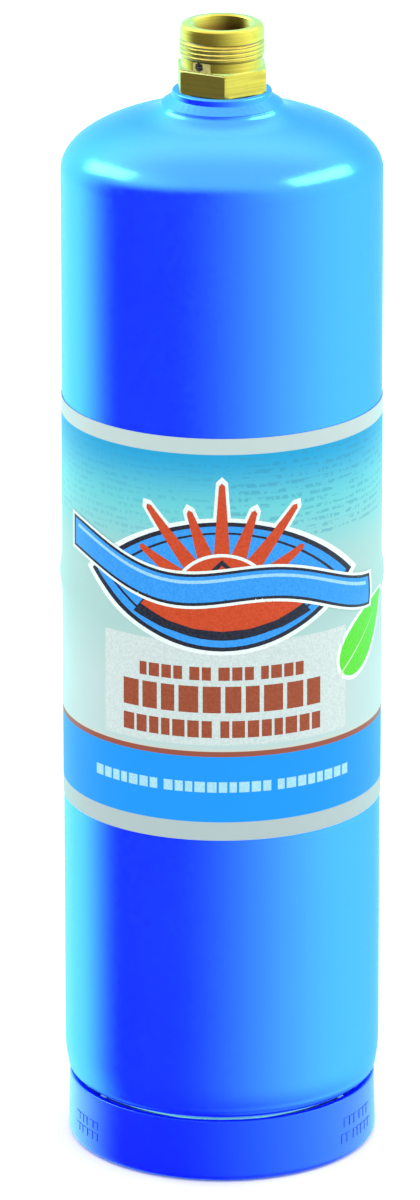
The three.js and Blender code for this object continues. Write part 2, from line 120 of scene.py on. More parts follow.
# Label artwork
EDGE_BOTTOM_Z = 183.7
BAND_BOTTOM_Z = 92.4
BAND_TOP_Z = 108.8
RUST_TOP_Z = 110.1
CREAM_TOP_Z = 110.7
MINT_FADE = (120, 146)
AQUA_FADE = (150, 172)
BLUE_FADE = (168, 184)
PANEL_BOX = (-30.8, 33.4, 111.7, 137.4)
FINE_PRINT_PITCH = 1.7
FINE_PRINT_BOTTOM_Z = 162
FINE_PRINT_STRENGTH = 0.4
INK_THICKNESS = 0.012
STRIP_WIDTH = 1.6
MARK_GAP = 0.22
SUN_Z = 147
SUN_R = 11.6
SUN_STEPS = 32
BADGE_Z = 151.2
LONG_RAY = 29
SHORT_RAY = 23.5
RAY_STEP = 19
RIBBON_Z = 151
RIBBON_FALL = 0.12
RIBBON_WAVE = 2.2
RIBBON_WAVELENGTH = 9.0
LEAF_ACROSS = 42
LEAF_Z = 133.5
LEAF_LENGTH = 25
LEAF_WIDTH = 11
LEAF_TILT_DEG = 38

PANEL_MINT = (0.36, 0.49, 0.48, 1)
MINT = (0.29, 0.46, 0.44, 1)
AQUA = (0.11, 0.46, 0.49, 1)
SKY_BLUE = (0.010, 0.27, 0.50, 1)
FINE_PRINT = (0.03, 0.20, 0.30, 1)
CREAM = (0.42, 0.48, 0.43, 1)
RUST = (0.24, 0.065, 0.04, 1)
BAND_BLUE = (0.006, 0.225, 0.66, 1)
EDGE_GREY = (0.32, 0.40, 0.40, 1)
EDGE_WHITE = (0.38, 0.47, 0.46, 1)

# Neck boss and its weld
BOSS_R = 11.8
BOSS_BORE_R = 8.5
BOSS_FLANGE_R = 13.4
BOSS_BOTTOM_Z = 252.5
BOSS_FLANGE_Z = 254.4
BOSS_TOP_Z = 262
BOSS_EDGE_R = 0.5
BOSS_CHAMFER = 1.7
NECK_WELD_Z = 258.9
NECK_WELD_INNER_R = 11.75
NECK_WELD_HEIGHT = 1.7
NECK_WELD_RIPPLES = 46

# Valve
SHANK_R = 8.2
SHANK_BOTTOM_Z = 250
HEX_ACROSS_FLATS = 20.3
HEX_BOTTOM_Z = 262.3
HEX_TOP_Z = 267.9
HEX_TURN_DEG = 3
HEX_CHAMFER_R = 11.2
HEX_CORNER_R = 11.62
COLLAR_R = 9.65
THREAD_BOTTOM_Z = 270.3
THREAD_CREST_R = 10.05
THREAD_ROOT_R = 9.5
THREAD_PITCH = 1.04
THREAD_TURNS = 4
THREAD_ROOT_SHARE = 0.15
THREAD_FLANK_SHARE = 0.3
THREAD_TOP_Z = THREAD_BOTTOM_Z + THREAD_PITCH * THREAD_TURNS
LEAD_IN_R = 9.95
LEAD_IN_TAPER = 1.3
RIM_Z = 278
RIM_R = 9.3
RIM_EDGE = 0.25
MOUTH_EDGE = 0.3
MOUTH_R = 7.2
MOUTH_FLOOR_Z = 271.2
CORE_BORE_R = 3.4
BLEED_TURN_DEG = 35
BLEED_Z = 269.1
BLEED_BORE_R = 1.05
BLEED_SEAT_R = 6.3
PASSAGE_R = 0.55
PASSAGE_AXIS_R = 5.6
POCKET_TURN_DEG = 30.5
POCKET_FLOOR_R = 9.34
POCKET_BOTTOM_Z = HEX_TOP_Z - 0.2
POCKET_TOP_Z = THREAD_BOTTOM_Z - 0.1
TUBE_R = 1.05
TUBE_TOP_Z = 254.2
RELIEF_AXIS_R = 5.8
RELIEF_BORE_R = 1.7
RELIEF_BORE_TOP_Z = 269.4
VENT_R = 0.7
VENT_Z = 268.7

# Foot ring's tack welds and stamps
TACK_COUNT = 4
TACK_HALF_SIZE = (0.95, 2.4, 0.85)
TACK_R = 33.9
TACK_Z = 13.4
TACK_RIPPLE = 0.12
STAMP_RISE = 0.12
STAMP_DEG = 62
STAMP_HALF_PITCH = 1.05

# Seals
O_RING_R = 9
O_RING_Z = 261.75
O_RING_WIRE_R = 0.35
GASKET_INNER_R = 3.5
GASKET_R = 5.2
GASKET_TOP_Z = 272.6
GASKET_CROWN = 0.4

# Check core
HOUSING_R = CORE_BORE_R - GAP
HOUSING_BOTTOM_Z = 256.5
HOUSING_TOP_Z = 272
CHAMBER_R = 2.45
CHAMBER_TOP_Z = 266.6
PIN_BORE_R = 1.25
PIN_R = 0.8
PIN_TIP_Z = 273.4
PIN_HEAD_R = 2
PIN_HEAD_BOTTOM_Z = 263.6
PIN_HEAD_TOP_Z = 264.8
PIN_STEM_R = 0.6
PIN_STEM_BOTTOM_Z = 256.6
SEAL_INNER_R = 1.1
SEAL_R = 2.15
RETAINER_R = 2.15
RETAINER_HOLE_R = 0.95
RETAINER_BOTTOM_Z = 256.9
RETAINER_TOP_Z = 258.3
RETAINER_NOTCHES = 3
RETAINER_NOTCH_R = 0.5
CORE_SPRING = {"coil_r": 1.45, "wire_r": 0.22, "turns": 5, "bottom": 258.6, "top": 263.3}

# Bleed screw and its pad, measured outwards from the valve's axis
PAD_R = 0.75
PAD_START = BLEED_SEAT_R + GAP
PAD_END = PAD_START + 0.6
SCREW_R = 0.85
SCREW_START = PAD_END + GAP
SCREW_END = COLLAR_R - 0.6
SCREW_PITCH = 0.3
SLOT_WIDTH = 0.35
SLOT_DEPTH = 0.5
TUBE_BORE_R = 0.6
TUBE_BOTTOM_Z = 200

# Relief valve
RELIEF_SEAT_R = RELIEF_BORE_R - GAP
RELIEF_ORIFICE_R = 0.7
RELIEF_SEAT_BOTTOM_Z = 250.5
RELIEF_SEAT_TOP_Z = 253
RELIEF_SEAL_R = 1.15
RELIEF_SEAL_TOP_Z = 254.1
POPPET_R = 1.3
POPPET_TOP_Z = 256.2
POPPET_STEM_R = 0.5
POPPET_STEM_TOP_Z = 263
RELIEF_SPRING = {"coil_r": 1.15, "wire_r": 0.2, "turns": 9, "bottom": 256.5, "top": 269.1}

# ---- node materials


class Nodes:
    """A node tree, with a method for each kind of step that this script uses."""

    def __init__(self, tree):
        self.tree = tree

    def join(self, value, socket):
        """Feeds a socket from another socket or sets it to a plain value."""
        if isinstance(value, bpy.types.NodeSocket):
            self.tree.links.new(value, socket)
        else:
            socket.default_value = value

    def split(self, vector):
        """The x, y and z of a vector."""
        node = self.tree.nodes.new("ShaderNodeSeparateXYZ")
        self.join(vector, node.inputs[0])
        return node.outputs

    def math(self, operation, a, b=0.0):
        node = self.tree.nodes.new("ShaderNodeMath")
        node.operation = operation
        self.join(a, node.inputs[0])
        self.join(b, node.inputs[1])
        return node.outputs[0]

    def product(self, first, *others):
        for other in others:
            first = self.math("MULTIPLY", first, other)
        return first

    def ramp(self, value, low, high, start=0.0, end=1.0):
        """value's place between low and high, smoothly, as a number from start to end."""
        node = self.tree.nodes.new("ShaderNodeMapRange")
        node.interpolation_type = "SMOOTHSTEP"
        self.join(value, node.inputs["Value"])
        for name, number in zip(("From Min", "From Max", "To Min", "To Max"), (low, high, start, end)):
            node.inputs[name].default_value = number
        return node.outputs["Result"]

    def mix(self, factor, a, b):
        """A colour between two colours."""
        node = self.tree.nodes.new("ShaderNodeMix")
        node.data_type = "RGBA"
        self.join(factor, node.inputs["Factor"])
        self.join(a, node.inputs[6])
        self.join(b, node.inputs[7])
        return node.outputs[2]

    def between(self, factor, a, b):
        """A number between two numbers."""
        node = self.tree.nodes.new("ShaderNodeMix")
        self.join(factor, node.inputs["Factor"])
        self.join(a, node.inputs[2])
        self.join(b, node.inputs[3])
        return node.outputs[0]

    def turn_of(self, vector):
        """Angle of a vector round the upright axis from the front, in degrees, positive to the right."""
        x, y, _ = self.split(vector)
        return self.math("DEGREES", self.math("ARCTAN2", x, self.math("MULTIPLY", y, -1.0)))


class Paint(Nodes):
    """A material's node tree round its one Principled shader."""

    def __init__(self, name):
        self.material = bpy.data.materials.new(name)
        self.material.use_nodes = True
        super().__init__(self.material.node_tree)
        self.shader = self.tree.nodes["Principled BSDF"]
        self.place = self.tree.nodes.new("ShaderNodeTexCoord").outputs["Object"]

    def set(self, **values):
        """Sets the shader's own sockets: words are joined by underscores in place of spaces."""
        for name, value in values.items():
            self.join(value, self.shader.inputs[name.replace("_", " ")])

    def stretched(self, x, y, z):
        """The place on the object, scaled along each axis."""
        node = self.tree.nodes.new("ShaderNodeMapping")
        self.join(self.place, node.inputs["Vector"])
        node.inputs["Scale"].default_value = (x, y, z)
        return node.outputs["Vector"]

    def noise(self, scale, detail=2.0, vector=None):
        node = self.tree.nodes.new("ShaderNodeTexNoise")
        self.join(vector or self.place, node.inputs["Vector"])
        node.inputs["Scale"].default_value = scale
        node.inputs["Detail"].default_value = detail
        return node.outputs["Fac"]

    def height(self):
        """Height above the ground, in millimetres."""
        return self.math("MULTIPLY", self.split(self.place)["Z"], 1 / MM)

    def radius(self):
        """Distance from the upright axis, in millimetres."""
        node = self.tree.nodes.new("ShaderNodeVectorMath")
        node.operation = "LENGTH"
        self.join(self.stretched(1 / MM, 1 / MM, 0), node.inputs[0])
        return node.outputs["Value"]

    def bump(self, height, depth_mm, strength=1.0):
        node = self.tree.nodes.new("ShaderNodeBump")
        node.inputs["Strength"].default_value = strength
        node.inputs["Distance"].default_value = depth_mm * MM
        self.join(height, node.inputs["Height"])
        self.join(node.outputs["Normal"], self.shader.inputs["Normal"])


DEEP_BLUE = (0.003, 0.003, 0.93, 1)
LIT_BLUE = (0.004, 0.006, 1.0, 1)
BRASS_BRIGHT = (0.62, 0.49, 0.065, 1)
BRASS_DULL = (0.36, 0.25, 0.03, 1)
BRASS_ROOT_SHADE = (0.10, 0.055, 0.008, 1)
BRASS_BORE_SHADE = (0.03, 0.018, 0.009, 1)
BRASS_MILLED_LIT = (0.86, 0.76, 0.24, 1)
BRASS_MOUTH_SHADE = (0.20, 0.075, 0.008, 1)


def blue_paint(name, gloss):
    """Deep blue gloss enamel, with a faint flow texture and a cyan sheen where it mirrors light."""
    paint = Paint(name)
    flow = paint.noise(900, 3)
    drift = paint.noise(28, 2)
    paint.set(Base_Color=paint.mix(paint.ramp(drift, 0.3, 0.7), DEEP_BLUE, LIT_BLUE))
    paint.set(Roughness=paint.ramp(flow, 0.3, 0.7, 0.17, 0.22))
    paint.set(IOR=2.4, Specular_IOR_Level=gloss, Specular_Tint=(0.17, 0.9, 0.92, 1))
    paint.bump(flow, 0.012)
    return paint.material


def brass():
    """Turned brass with tool marks round the axis, painted shade darkening the thread's roots, and painted
    shade that browns the mouth further in.
    """
    paint = Paint("brass_machined")
    z = paint.height()
    r = paint.radius()
    marks = paint.noise(60, 2, paint.stretched(1, 1, 60))
    tarnish = paint.noise(420, 4)
    worn = paint.math("ADD", paint.ramp(tarnish, 0.5, 0.8, 0, 0.25), paint.ramp(marks, 0.42, 0.62, 0.0, 0.35))
    colour = paint.mix(worn, BRASS_BRIGHT, BRASS_DULL)
    # Painted shade: the roots between the thread's crests are darkened towards near-black brown.
    thread_root_shade = paint.product(
        paint.ramp(z, THREAD_BOTTOM_Z - 0.2, THREAD_BOTTOM_Z),
        paint.ramp(z, THREAD_TOP_Z + 0.4, THREAD_TOP_Z + 0.1),
        paint.ramp(r, THREAD_ROOT_R - 0.5, THREAD_ROOT_R - 0.2),
        paint.ramp(r, THREAD_CREST_R - 0.15, THREAD_ROOT_R + 0.05),
    )
    colour = paint.mix(paint.product(thread_root_shade, 0.65), colour, BRASS_ROOT_SHADE)
    # Painted shade: the mouth's wall is browned darker further down, towards its floor.
    mouth_shade = paint.product(
        paint.ramp(r, MOUTH_R + 0.25, MOUTH_R + 0.05),
        paint.ramp(z, RIM_Z, RIM_Z - 3.5),
        paint.ramp(z, MOUTH_FLOOR_Z - 1, MOUTH_FLOOR_Z - 0.5),
    )
    colour = paint.mix(paint.product(mouth_shade, 0.85), colour, BRASS_MOUTH_SHADE)
    paint.set(Base_Color=colour)
    milled = paint.product(
        paint.ramp(z, HEX_BOTTOM_Z - 0.3, HEX_BOTTOM_Z),
        paint.ramp(z, HEX_TOP_Z, HEX_TOP_Z - 0.3),
    )
    rough = paint.math("ADD", paint.ramp(marks, 0.3, 0.7, 0.20, 0.30), paint.product(milled, 0.1))
    paint.set(Metallic=0.82, Roughness=rough)
    paint.bump(marks, 0.02)
    return paint.material


def plain_brass(name, colour, metallic, roughness):
    """Brass of one tone: the freshly milled floor of the pocket, made lighter as painted light, or the bores'
    walls and the bleed screw, near black as painted shade.
    """
    paint = Paint(name)
    grain = paint.noise(1500, 3)
    darker = tuple(0.72 * c for c in colour[:3]) + (1,)
    paint.set(Base_Color=paint.mix(paint.ramp(grain, 0.4, 0.65), colour, darker))
    paint.set(Metallic=metallic, Roughness=paint.ramp(grain, 0.3, 0.7, roughness, roughness + 0.12))
    paint.set(Specular_IOR_Level=0.2)
    paint.bump(grain, 0.01)
    return paint.material


def rubber():
    paint = Paint("rubber_black")
    grain = paint.noise(2500, 3)
    paint.set(Base_Color=paint.mix(grain, (0.012, 0.012, 0.013, 1), (0.03, 0.03, 0.032, 1)))
    paint.set(Roughness=paint.ramp(grain, 0.3, 0.7, 0.6, 0.8))
    paint.bump(grain, 0.01)
    return paint.material


def spring_steel():
    paint = Paint("spring_steel_drawn")
    grain = paint.noise(3000, 2)
    paint.set(Base_Color=paint.mix(grain, (0.5, 0.5, 0.53, 1), (0.68, 0.69, 0.72, 1)))
    paint.set(Metallic=1.0, Roughness=paint.ramp(grain, 0.3, 0.7, 0.22, 0.34))
    paint.bump(grain, 0.004)
    return paint.material


BLUE = blue_paint("blue_enamel", 0.85)
RING_BLUE = blue_paint("blue_enamel_ring", 0.33)
BRASS = brass()
# Lighter, less metallic milled brass: fresh-cut brass tone, made brighter as painted light on the pocket's
# floor.
LIT_MILLED_BRASS = plain_brass("brass_milled", BRASS_MILLED_LIT, 0.6, 0.45)
# Near-black brass: painted shade for the walls of the bores and for the bleed screw down in its hole.
SHADED_BRASS = plain_brass("brass_dark", BRASS_BORE_SHADE, 0.1, 0.5)
RUBBER = rubber()
STEEL = spring_steel()

# ---- meshes


def ellipse_arc(centre_r, centre_z, half_width, half_height, start_deg, end_deg, steps):
    """Points of an elliptical arc in profile coordinates (radius, height)."""
    angles = [math.radians(start_deg + (end_deg - start_deg) * i / steps) for i in range(steps + 1)]
    return [(centre_r + half_width * math.cos(a), centre_z + half_height * math.sin(a)) for a in angles]


def arc(centre_r, centre_z, radius, start_deg, end_deg, steps):
    return ellipse_arc(centre_r, centre_z, radius, radius, start_deg, end_deg, steps)


def curve_between(start, corner, end, steps):
    """Points of a quadratic curve that leans to corner."""
    points = []
    for i in range(steps + 1):
        t = i / steps
        weights = ((1 - t) ** 2, 2 * t * (1 - t), t**2)
        points.append(tuple(sum(w * p[k] for w, p in zip(weights, (start, corner, end))) for k in (0, 1)))
    return points


def finer(profile, step):
    """The same outline with its long straight stretches cut into pieces of about step."""
    points = [profile[0]]
    for end in profile[1:]:
        start = points[-1]
        count = max(1, round(math.dist(start, end) / step))
        points += [
            tuple(a + (b - a) * i / count for a, b in zip(start, end)) for i in range(1, count + 1)
        ]
    return points


def linked(name, made, material):
    """Makes a smooth-shaded object of a bmesh in millimetres."""
    mesh = bpy.data.meshes.new(name)
    made.to_mesh(mesh)
    made.free()
    mesh.transform(Matrix.Scale(MM, 4))
    mesh.shade_smooth()
    mesh.materials.append(material)
    piece = bpy.data.objects.new(name, mesh)
    bpy.context.scene.collection.objects.link(piece)
    return piece


def object_of(name, made, material, sharp_deg=35):
    """Makes an object of a closed bmesh, with its faces outwards and its hard edges sharp."""
    bmesh.ops.recalc_face_normals(made, faces=made.faces)
    piece = linked(name, made, material)
    piece.data.set_sharp_from_angle(angle=math.radians(sharp_deg))
    return piece


def apply_modifiers(piece, sharp_deg=35):
    """Makes the piece's modifiers part of its mesh."""
    depsgraph = bpy.context.evaluated_depsgraph_get()
    made = bpy.data.meshes.new_from_object(piece.evaluated_get(depsgraph))
    piece.modifiers.clear()
    piece.data = made
    made.set_sharp_from_angle(angle=math.radians(sharp_deg))


def turned(profile, segments, start_deg=0.0, shape=None):
    """A bmesh of a profile revolved about Z. A profile off the axis is closed on itself.
    shape(angle, r, z) may move each point, and gives its new radius and height."""
    made = bmesh.new()
    rows = []
    for r, z in profile:
        if r < 1e-6:
            rows.append([made.verts.new((0, 0, z))])
            continue
        row = []
        for i in range(segments):
            angle = math.radians(start_deg) + 2 * math.pi * i / segments
            new_r, new_z = shape(angle, r, z) if shape else (r, z)
            row.append(made.verts.new((new_r * math.cos(angle), new_r * math.sin(angle), new_z)))
        rows.append(row)
    if len(rows[0]) > 1 and len(rows[-1]) > 1:
        rows.append(rows[0])
    for low, high in zip(rows, rows[1:]):
        for i in range(segments):
            j = (i + 1) % segments
            corners = [low[i % len(low)], low[j % len(low)], high[j % len(high)], high[i % len(high)]]
            made.faces.new(list(dict.fromkeys(corners)))
    return made


def stand_for(piece, node):
    """piece joins the rigid body of a CAD node, which is hidden to leave the piece in its place."""
    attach(piece, frame["nodes"][node]["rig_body"])
    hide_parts(node)
    return piece


def placed(name, made, material, node, matrix=None):
    """Puts a bmesh at a place and lets it stand for a CAD node."""
    if matrix:
        bmesh.ops.transform(made, matrix=matrix, verts=made.verts)
    return stand_for(object_of(name, made, material), node)


# ---- shell


def dome_height(r, half_width, height):
    return DOME_Z + height * math.sqrt(1 - (r / half_width) ** 2)


def upper_shell():
    edge_z = SEAM_Z + SEAM_ROOT / 2
    inner_r = BODY_R - WALL
    bore_r = BOSS_R + GAP
    blend_deg = math.degrees(math.acos(NECK_BLEND_R / BODY_R))
    bore_deg = math.degrees(math.acos(bore_r / inner_r))
    blend_start = (NECK_BLEND_R, dome_height(NECK_BLEND_R, BODY_R, DOME_HEIGHT))
    profile = [
        *finer([(inner_r, edge_z), (BODY_R, edge_z), (BODY_R, DOME_Z)], 4),
        *ellipse_arc(0, DOME_Z, BODY_R, DOME_HEIGHT, 0, blend_deg, 36)[1:],
        *curve_between(blend_start, NECK_BLEND_CORNER, (NECK_R, NECK_TOP_Z - 0.3), 16)[1:],
        (NECK_R - 0.3, NECK_TOP_Z),
        (bore_r, NECK_TOP_Z),
        *ellipse_arc(0, DOME_Z, inner_r, DOME_HEIGHT - WALL, bore_deg, 0, 20),
    ]
    placed("shell_upper", turned(profile, SHELL_SEGMENTS), BLUE, "upper_shell")


def bottom_head(depth, steps):
    """Outline of the bottom head from the waist to the axis, at a depth inside the outer surface."""
    knuckle = arc(WAIST_R - KNUCKLE_R, WAIST_Z, KNUCKLE_R - depth, 0, -KNUCKLE_DEG, 8)
    crown_r = CROWN_R - depth
    edge_deg = math.degrees(math.asin(knuckle[-1][0] / crown_r))
    crown = arc(0, BOTTOM_APEX_Z + CROWN_R, crown_r, edge_deg - 90, -90, steps)
    return [*knuckle, *crown[1:-1], (0, crown[-1][1])]


def lower_shell():
    edge_z = SEAM_Z - SEAM_ROOT / 2
    inner_r = BODY_R - WALL
    lip_r = inner_r - GAP
    waist = curve_between((WAIST_R, WAIST_Z), (BODY_R, WAIST_Z + 3), (BODY_R, WAIST_TOP_Z), 10)
    profile = [
        *bottom_head(0, 24)[::-1],
        *waist[1:],
        *finer([(BODY_R, WAIST_TOP_Z), (BODY_R, edge_z)], 4)[1:],
        (lip_r, edge_z + 0.3),
        (lip_r, LIP_TOP_Z),
        (lip_r - WALL, LIP_TOP_Z),
        (lip_r - WALL, edge_z),
        (inner_r, edge_z - 2 * WALL),
        (inner_r, WAIST_TOP_Z),
        *bottom_head(WALL, 16),
    ]
    placed("shell_lower", turned(profile, SHELL_SEGMENTS), BLUE, "lower_shell")


def seam_rise(z):
    """How far the weld's cap stands out at a height."""
    across = abs(z - SEAM_Z) / SEAM_WIDTH
    return SEAM_RISE * (1 + math.cos(2 * math.pi * across)) / 2 if across < 0.5 else 0.0


def girth_weld():
    cap_r = BODY_R + 0.03
    heights = [SEAM_Z + SEAM_WIDTH * (i / 24 - 0.5) for i in range(25)]
    profile = [
        (BODY_R - WALL, SEAM_Z - 0.7),
        (cap_r, SEAM_Z - 0.7),
        *[(cap_r + seam_rise(z), z) for z in heights],
        (cap_r, SEAM_Z + 0.7),
        (BODY_R - WALL, SEAM_Z + 0.7),
    ]
    placed("weld_girth", turned(profile, SHELL_SEGMENTS), BLUE, "girth_weld")


upper_shell()
lower_shell()
girth_weld()

# ---- foot ring


def foot_ring():
    inner_r = RING_R - RING_THICKNESS
    top_inner_r = RING_TOP_R - RING_THICKNESS
    outer_wall = finer([(RING_R, RING_EDGE_R), (RING_TOP_R, RING_TOP_Z - RING_LIP_R)], 2)
    profile = [
        *arc(RING_FLANGE_R + RING_TOE_R, RING_TOE_R, RING_TOE_R, 180, 270, 4),
        *arc(RING_R - RING_EDGE_R, RING_EDGE_R, RING_EDGE_R, -90, 0, 12),
        *outer_wall[1:],
        *arc(RING_TOP_R - RING_LIP_R, RING_TOP_Z - RING_LIP_R, RING_LIP_R, 0, 90, 6)[1:],
        *arc(top_inner_r + RING_LIP_R, RING_TOP_Z - RING_LIP_R, RING_LIP_R, 90, 180, 6),
        (inner_r, RING_THICKNESS + 1.2),
        (inner_r - 1.2, RING_THICKNESS),
        (RING_FLANGE_R, RING_THICKNESS),
    ]
    placed("ring_foot", turned(profile, SHELL_SEGMENTS), RING_BLUE, "foot_ring")


foot_ring()

# ---- neck


def neck_boss():
    profile = [
        (BOSS_BORE_R, BOSS_BOTTOM_Z),
        (BOSS_FLANGE_R, BOSS_BOTTOM_Z),
        (BOSS_FLANGE_R, BOSS_FLANGE_Z),
        (BOSS_R, BOSS_FLANGE_Z),
        *arc(BOSS_R - BOSS_EDGE_R, BOSS_TOP_Z - BOSS_EDGE_R, BOSS_EDGE_R, 0, 90, 6),
        (BOSS_BORE_R + BOSS_CHAMFER, BOSS_TOP_Z),
        (BOSS_BORE_R, BOSS_TOP_Z - BOSS_CHAMFER),
    ]
    placed("boss_neck", turned(profile, VALVE_SEGMENTS), BLUE, "neck_boss")


def neck_weld():
    """The weld bead between the neck and the boss, with the ripples of its run."""
    top_z = NECK_WELD_Z + NECK_WELD_HEIGHT

    def ripple(angle, r, z):
        share = max(0.0, (z - NECK_WELD_Z) * (top_z - z)) / NECK_WELD_HEIGHT**2
        wave = 0.09 * math.sin(NECK_WELD_RIPPLES * angle + 1.3 * z) * share
        return r + wave, z + 0.5 * wave

    toe = (NECK_R + 0.05, NECK_WELD_Z)
    face = curve_between(toe, (NECK_WELD_INNER_R + 0.9, NECK_WELD_Z + 1.0), (NECK_WELD_INNER_R, top_z), 14)
    profile = [(NECK_WELD_INNER_R, NECK_WELD_Z), *face]
    made = turned(profile, 6 * NECK_WELD_RIPPLES, shape=ripple)
    placed("weld_neck", made, BLUE, "neck_weld")


neck_boss()
neck_weld()

# ---- valve body


def hex_radius(angle, z):
    """Distance from the axis to the hexagon's surface, with its corners turned off."""
    corner = math.radians(HEX_TURN_DEG - 90)
    from_flat = (angle - corner) % (math.pi / 3) - math.pi / 6
    flat_r = HEX_ACROSS_FLATS / 2 / math.cos(from_flat)
    to_end = min(z - HEX_BOTTOM_Z, HEX_TOP_Z - z)
    return min(flat_r, HEX_CORNER_R, HEX_CHAMFER_R + to_end)


def thread_radius(angle, z):
    """A right-hand thread that fades in and out over its first and last half turn."""
    turn = (z - THREAD_BOTTOM_Z) / THREAD_PITCH - angle / (2 * math.pi)
    place = abs((turn % 1) * 2 - 1)
    crest = min(1.0, max(0.0, (place - THREAD_ROOT_SHARE) / THREAD_FLANK_SHARE))
    fade = min(1.0, (z - THREAD_BOTTOM_Z) / (0.5 * THREAD_PITCH), (THREAD_TOP_Z - z) / (0.4 * THREAD_PITCH))
    return THREAD_ROOT_R + (THREAD_CREST_R - THREAD_ROOT_R) * crest * max(0.0, fade)


def valve_bar():
    """Shank, hexagon, collar, thread and mouth as one closed turned bar."""

    def shape(angle, r, z):
        if r > COLLAR_R + 0.1 and HEX_BOTTOM_Z - 1e-6 <= z <= HEX_TOP_Z + 1e-6:
            return hex_radius(angle, z), z
        if THREAD_BOTTOM_Z < z < THREAD_TOP_Z and r > MOUTH_R + 0.1:
            return thread_radius(angle, z), z
        return r, z

    # Any radius outside the collar: shape() puts the hexagon's own in its place
    hex_band = COLLAR_R + 1
    hex_rows = finer(
        [
            (hex_band, HEX_BOTTOM_Z),
            (hex_band, HEX_BOTTOM_Z + 0.5),
            (hex_band, HEX_TOP_Z - 0.5),
            (hex_band, HEX_TOP_Z),
        ],
        0.25,
    )
    thread_rows = finer([(THREAD_ROOT_R, THREAD_BOTTOM_Z), (THREAD_ROOT_R, THREAD_TOP_Z)], THREAD_PITCH / 16)
    profile = [
        (CORE_BORE_R, SHANK_BOTTOM_Z),
        (SHANK_R - 0.3, SHANK_BOTTOM_Z),
        (SHANK_R, SHANK_BOTTOM_Z + 0.3),
        (SHANK_R, HEX_BOTTOM_Z),
        *hex_rows,
        (COLLAR_R + 0.15, HEX_TOP_Z),
        (COLLAR_R, HEX_TOP_Z + 0.15),
        (COLLAR_R, THREAD_BOTTOM_Z - 0.3),
        *thread_rows,
        (LEAD_IN_R, THREAD_TOP_Z + 0.3),
        (LEAD_IN_R, RIM_Z - LEAD_IN_TAPER),
        (RIM_R + 0.35, RIM_Z - 2 * RIM_EDGE),
        (RIM_R + 0.2, RIM_Z - RIM_EDGE),
        (RIM_R - RIM_EDGE, RIM_Z),
        (MOUTH_R + MOUTH_EDGE, RIM_Z),
        (MOUTH_R, RIM_Z - MOUTH_EDGE),
        (MOUTH_R, MOUTH_FLOOR_Z),
        (CORE_BORE_R, MOUTH_FLOOR_Z),
    ]
    return turned(profile, VALVE_SEGMENTS, HEX_TURN_DEG, shape)


def cutter(made, matrix, material):
    """A throwaway object for a boolean cut. The faces it leaves take its material."""
    bmesh.ops.transform(made, matrix=matrix, verts=made.verts)
    return object_of("cutter", made, material)


def rod(r, bottom, top, segments=SMALL_SEGMENTS):
    return turned([(0, bottom), (r, bottom), (r, top), (0, top)], segments)


def block(width, height, depth, middle):
    """A box centred on the local axis, with its middle this far along it."""
    made = bmesh.new()
    bmesh.ops.create_cube(made, size=1)
    bmesh.ops.scale(made, vec=(width, height, depth), verts=made.verts)
    bmesh.ops.translate(made, vec=(0, 0, middle), verts=made.verts)
    return made


def cut(piece, cutters):
    """Takes the cutters away from the piece, for good."""
    for tool in cutters:
        modifier = piece.modifiers.new("cut", "BOOLEAN")
        modifier.operation = "DIFFERENCE"
        modifier.solver = "EXACT"
        modifier.material_mode = "TRANSFER"
        modifier.object = tool
        apply_modifiers(piece)
        bpy.data.objects.remove(tool)


def sideways(turn_deg, z):
    """Local +Z runs outwards from the valve's axis at this height, turn_deg left of the front."""
    turn = math.radians(turn_deg)
    direction = Vector((-math.sin(turn), -math.cos(turn), 0))
    return Matrix.Translation((0, 0, z)) @ direction.to_track_quat("Z", "Y").to_matrix().to_4x4()


def upright(turn_deg, axis_r):
    """Local +Z is an upright line axis_r from the valve's axis, turn_deg left of the front."""
    turn = math.radians(turn_deg)
    return Matrix.Translation((-axis_r * math.sin(turn), -axis_r * math.cos(turn), 0))


def valve_body():
    piece = object_of("body_valve", valve_bar(), BRASS, 30)
    outside = THREAD_CREST_R + 1
    below = SHANK_BOTTOM_Z - 1
    bleed_bore = turned(
        [
            (0, PASSAGE_AXIS_R),
            (PASSAGE_R, PASSAGE_AXIS_R),
            (PASSAGE_R, BLEED_SEAT_R),
            (BLEED_BORE_R, BLEED_SEAT_R),
            (BLEED_BORE_R, outside),
            (0, outside),
        ],
        SMALL_SEGMENTS,
    )
    pocket = block(2 * COLLAR_R, POCKET_TOP_Z - POCKET_BOTTOM_Z, 2, POCKET_FLOOR_R + 1)
    passage = turned(
        [
            (0, below),
            (TUBE_R + GAP, below),
            (TUBE_R + GAP, TUBE_TOP_Z + GAP),
            (PASSAGE_R, TUBE_TOP_Z + GAP),
            (PASSAGE_R, BLEED_Z),
            (0, BLEED_Z),
        ],
        SMALL_SEGMENTS,
    )
    pocket_middle = (POCKET_BOTTOM_Z + POCKET_TOP_Z) / 2
    relief_turn = BLEED_TURN_DEG + 180
    relief_bore = rod(RELIEF_BORE_R, below, RELIEF_BORE_TOP_Z)
    vent = rod(VENT_R, RELIEF_AXIS_R, outside)
    # The walls that the bores leave take the near-black brass as painted shade; the pocket's floor takes the
    # lighter milled brass as painted light.
    cutters = [
        cutter(pocket, sideways(POCKET_TURN_DEG, pocket_middle), LIT_MILLED_BRASS),
        cutter(bleed_bore, sideways(BLEED_TURN_DEG, BLEED_Z), SHADED_BRASS),
        cutter(passage, upright(BLEED_TURN_DEG, PASSAGE_AXIS_R), SHADED_BRASS),
        cutter(relief_bore, upright(relief_turn, RELIEF_AXIS_R), SHADED_BRASS),
        cutter(vent, sideways(relief_turn, VENT_Z), SHADED_BRASS),
    ]
    cut(piece, cutters)
    stand_for(piece, "valve_body")


valve_body()

# ---- small turned pieces

EDGE = 0.08
COIL_STEPS = 36
COIL_SIDES = 12
COIL_FLAT_TURNS = 0.6


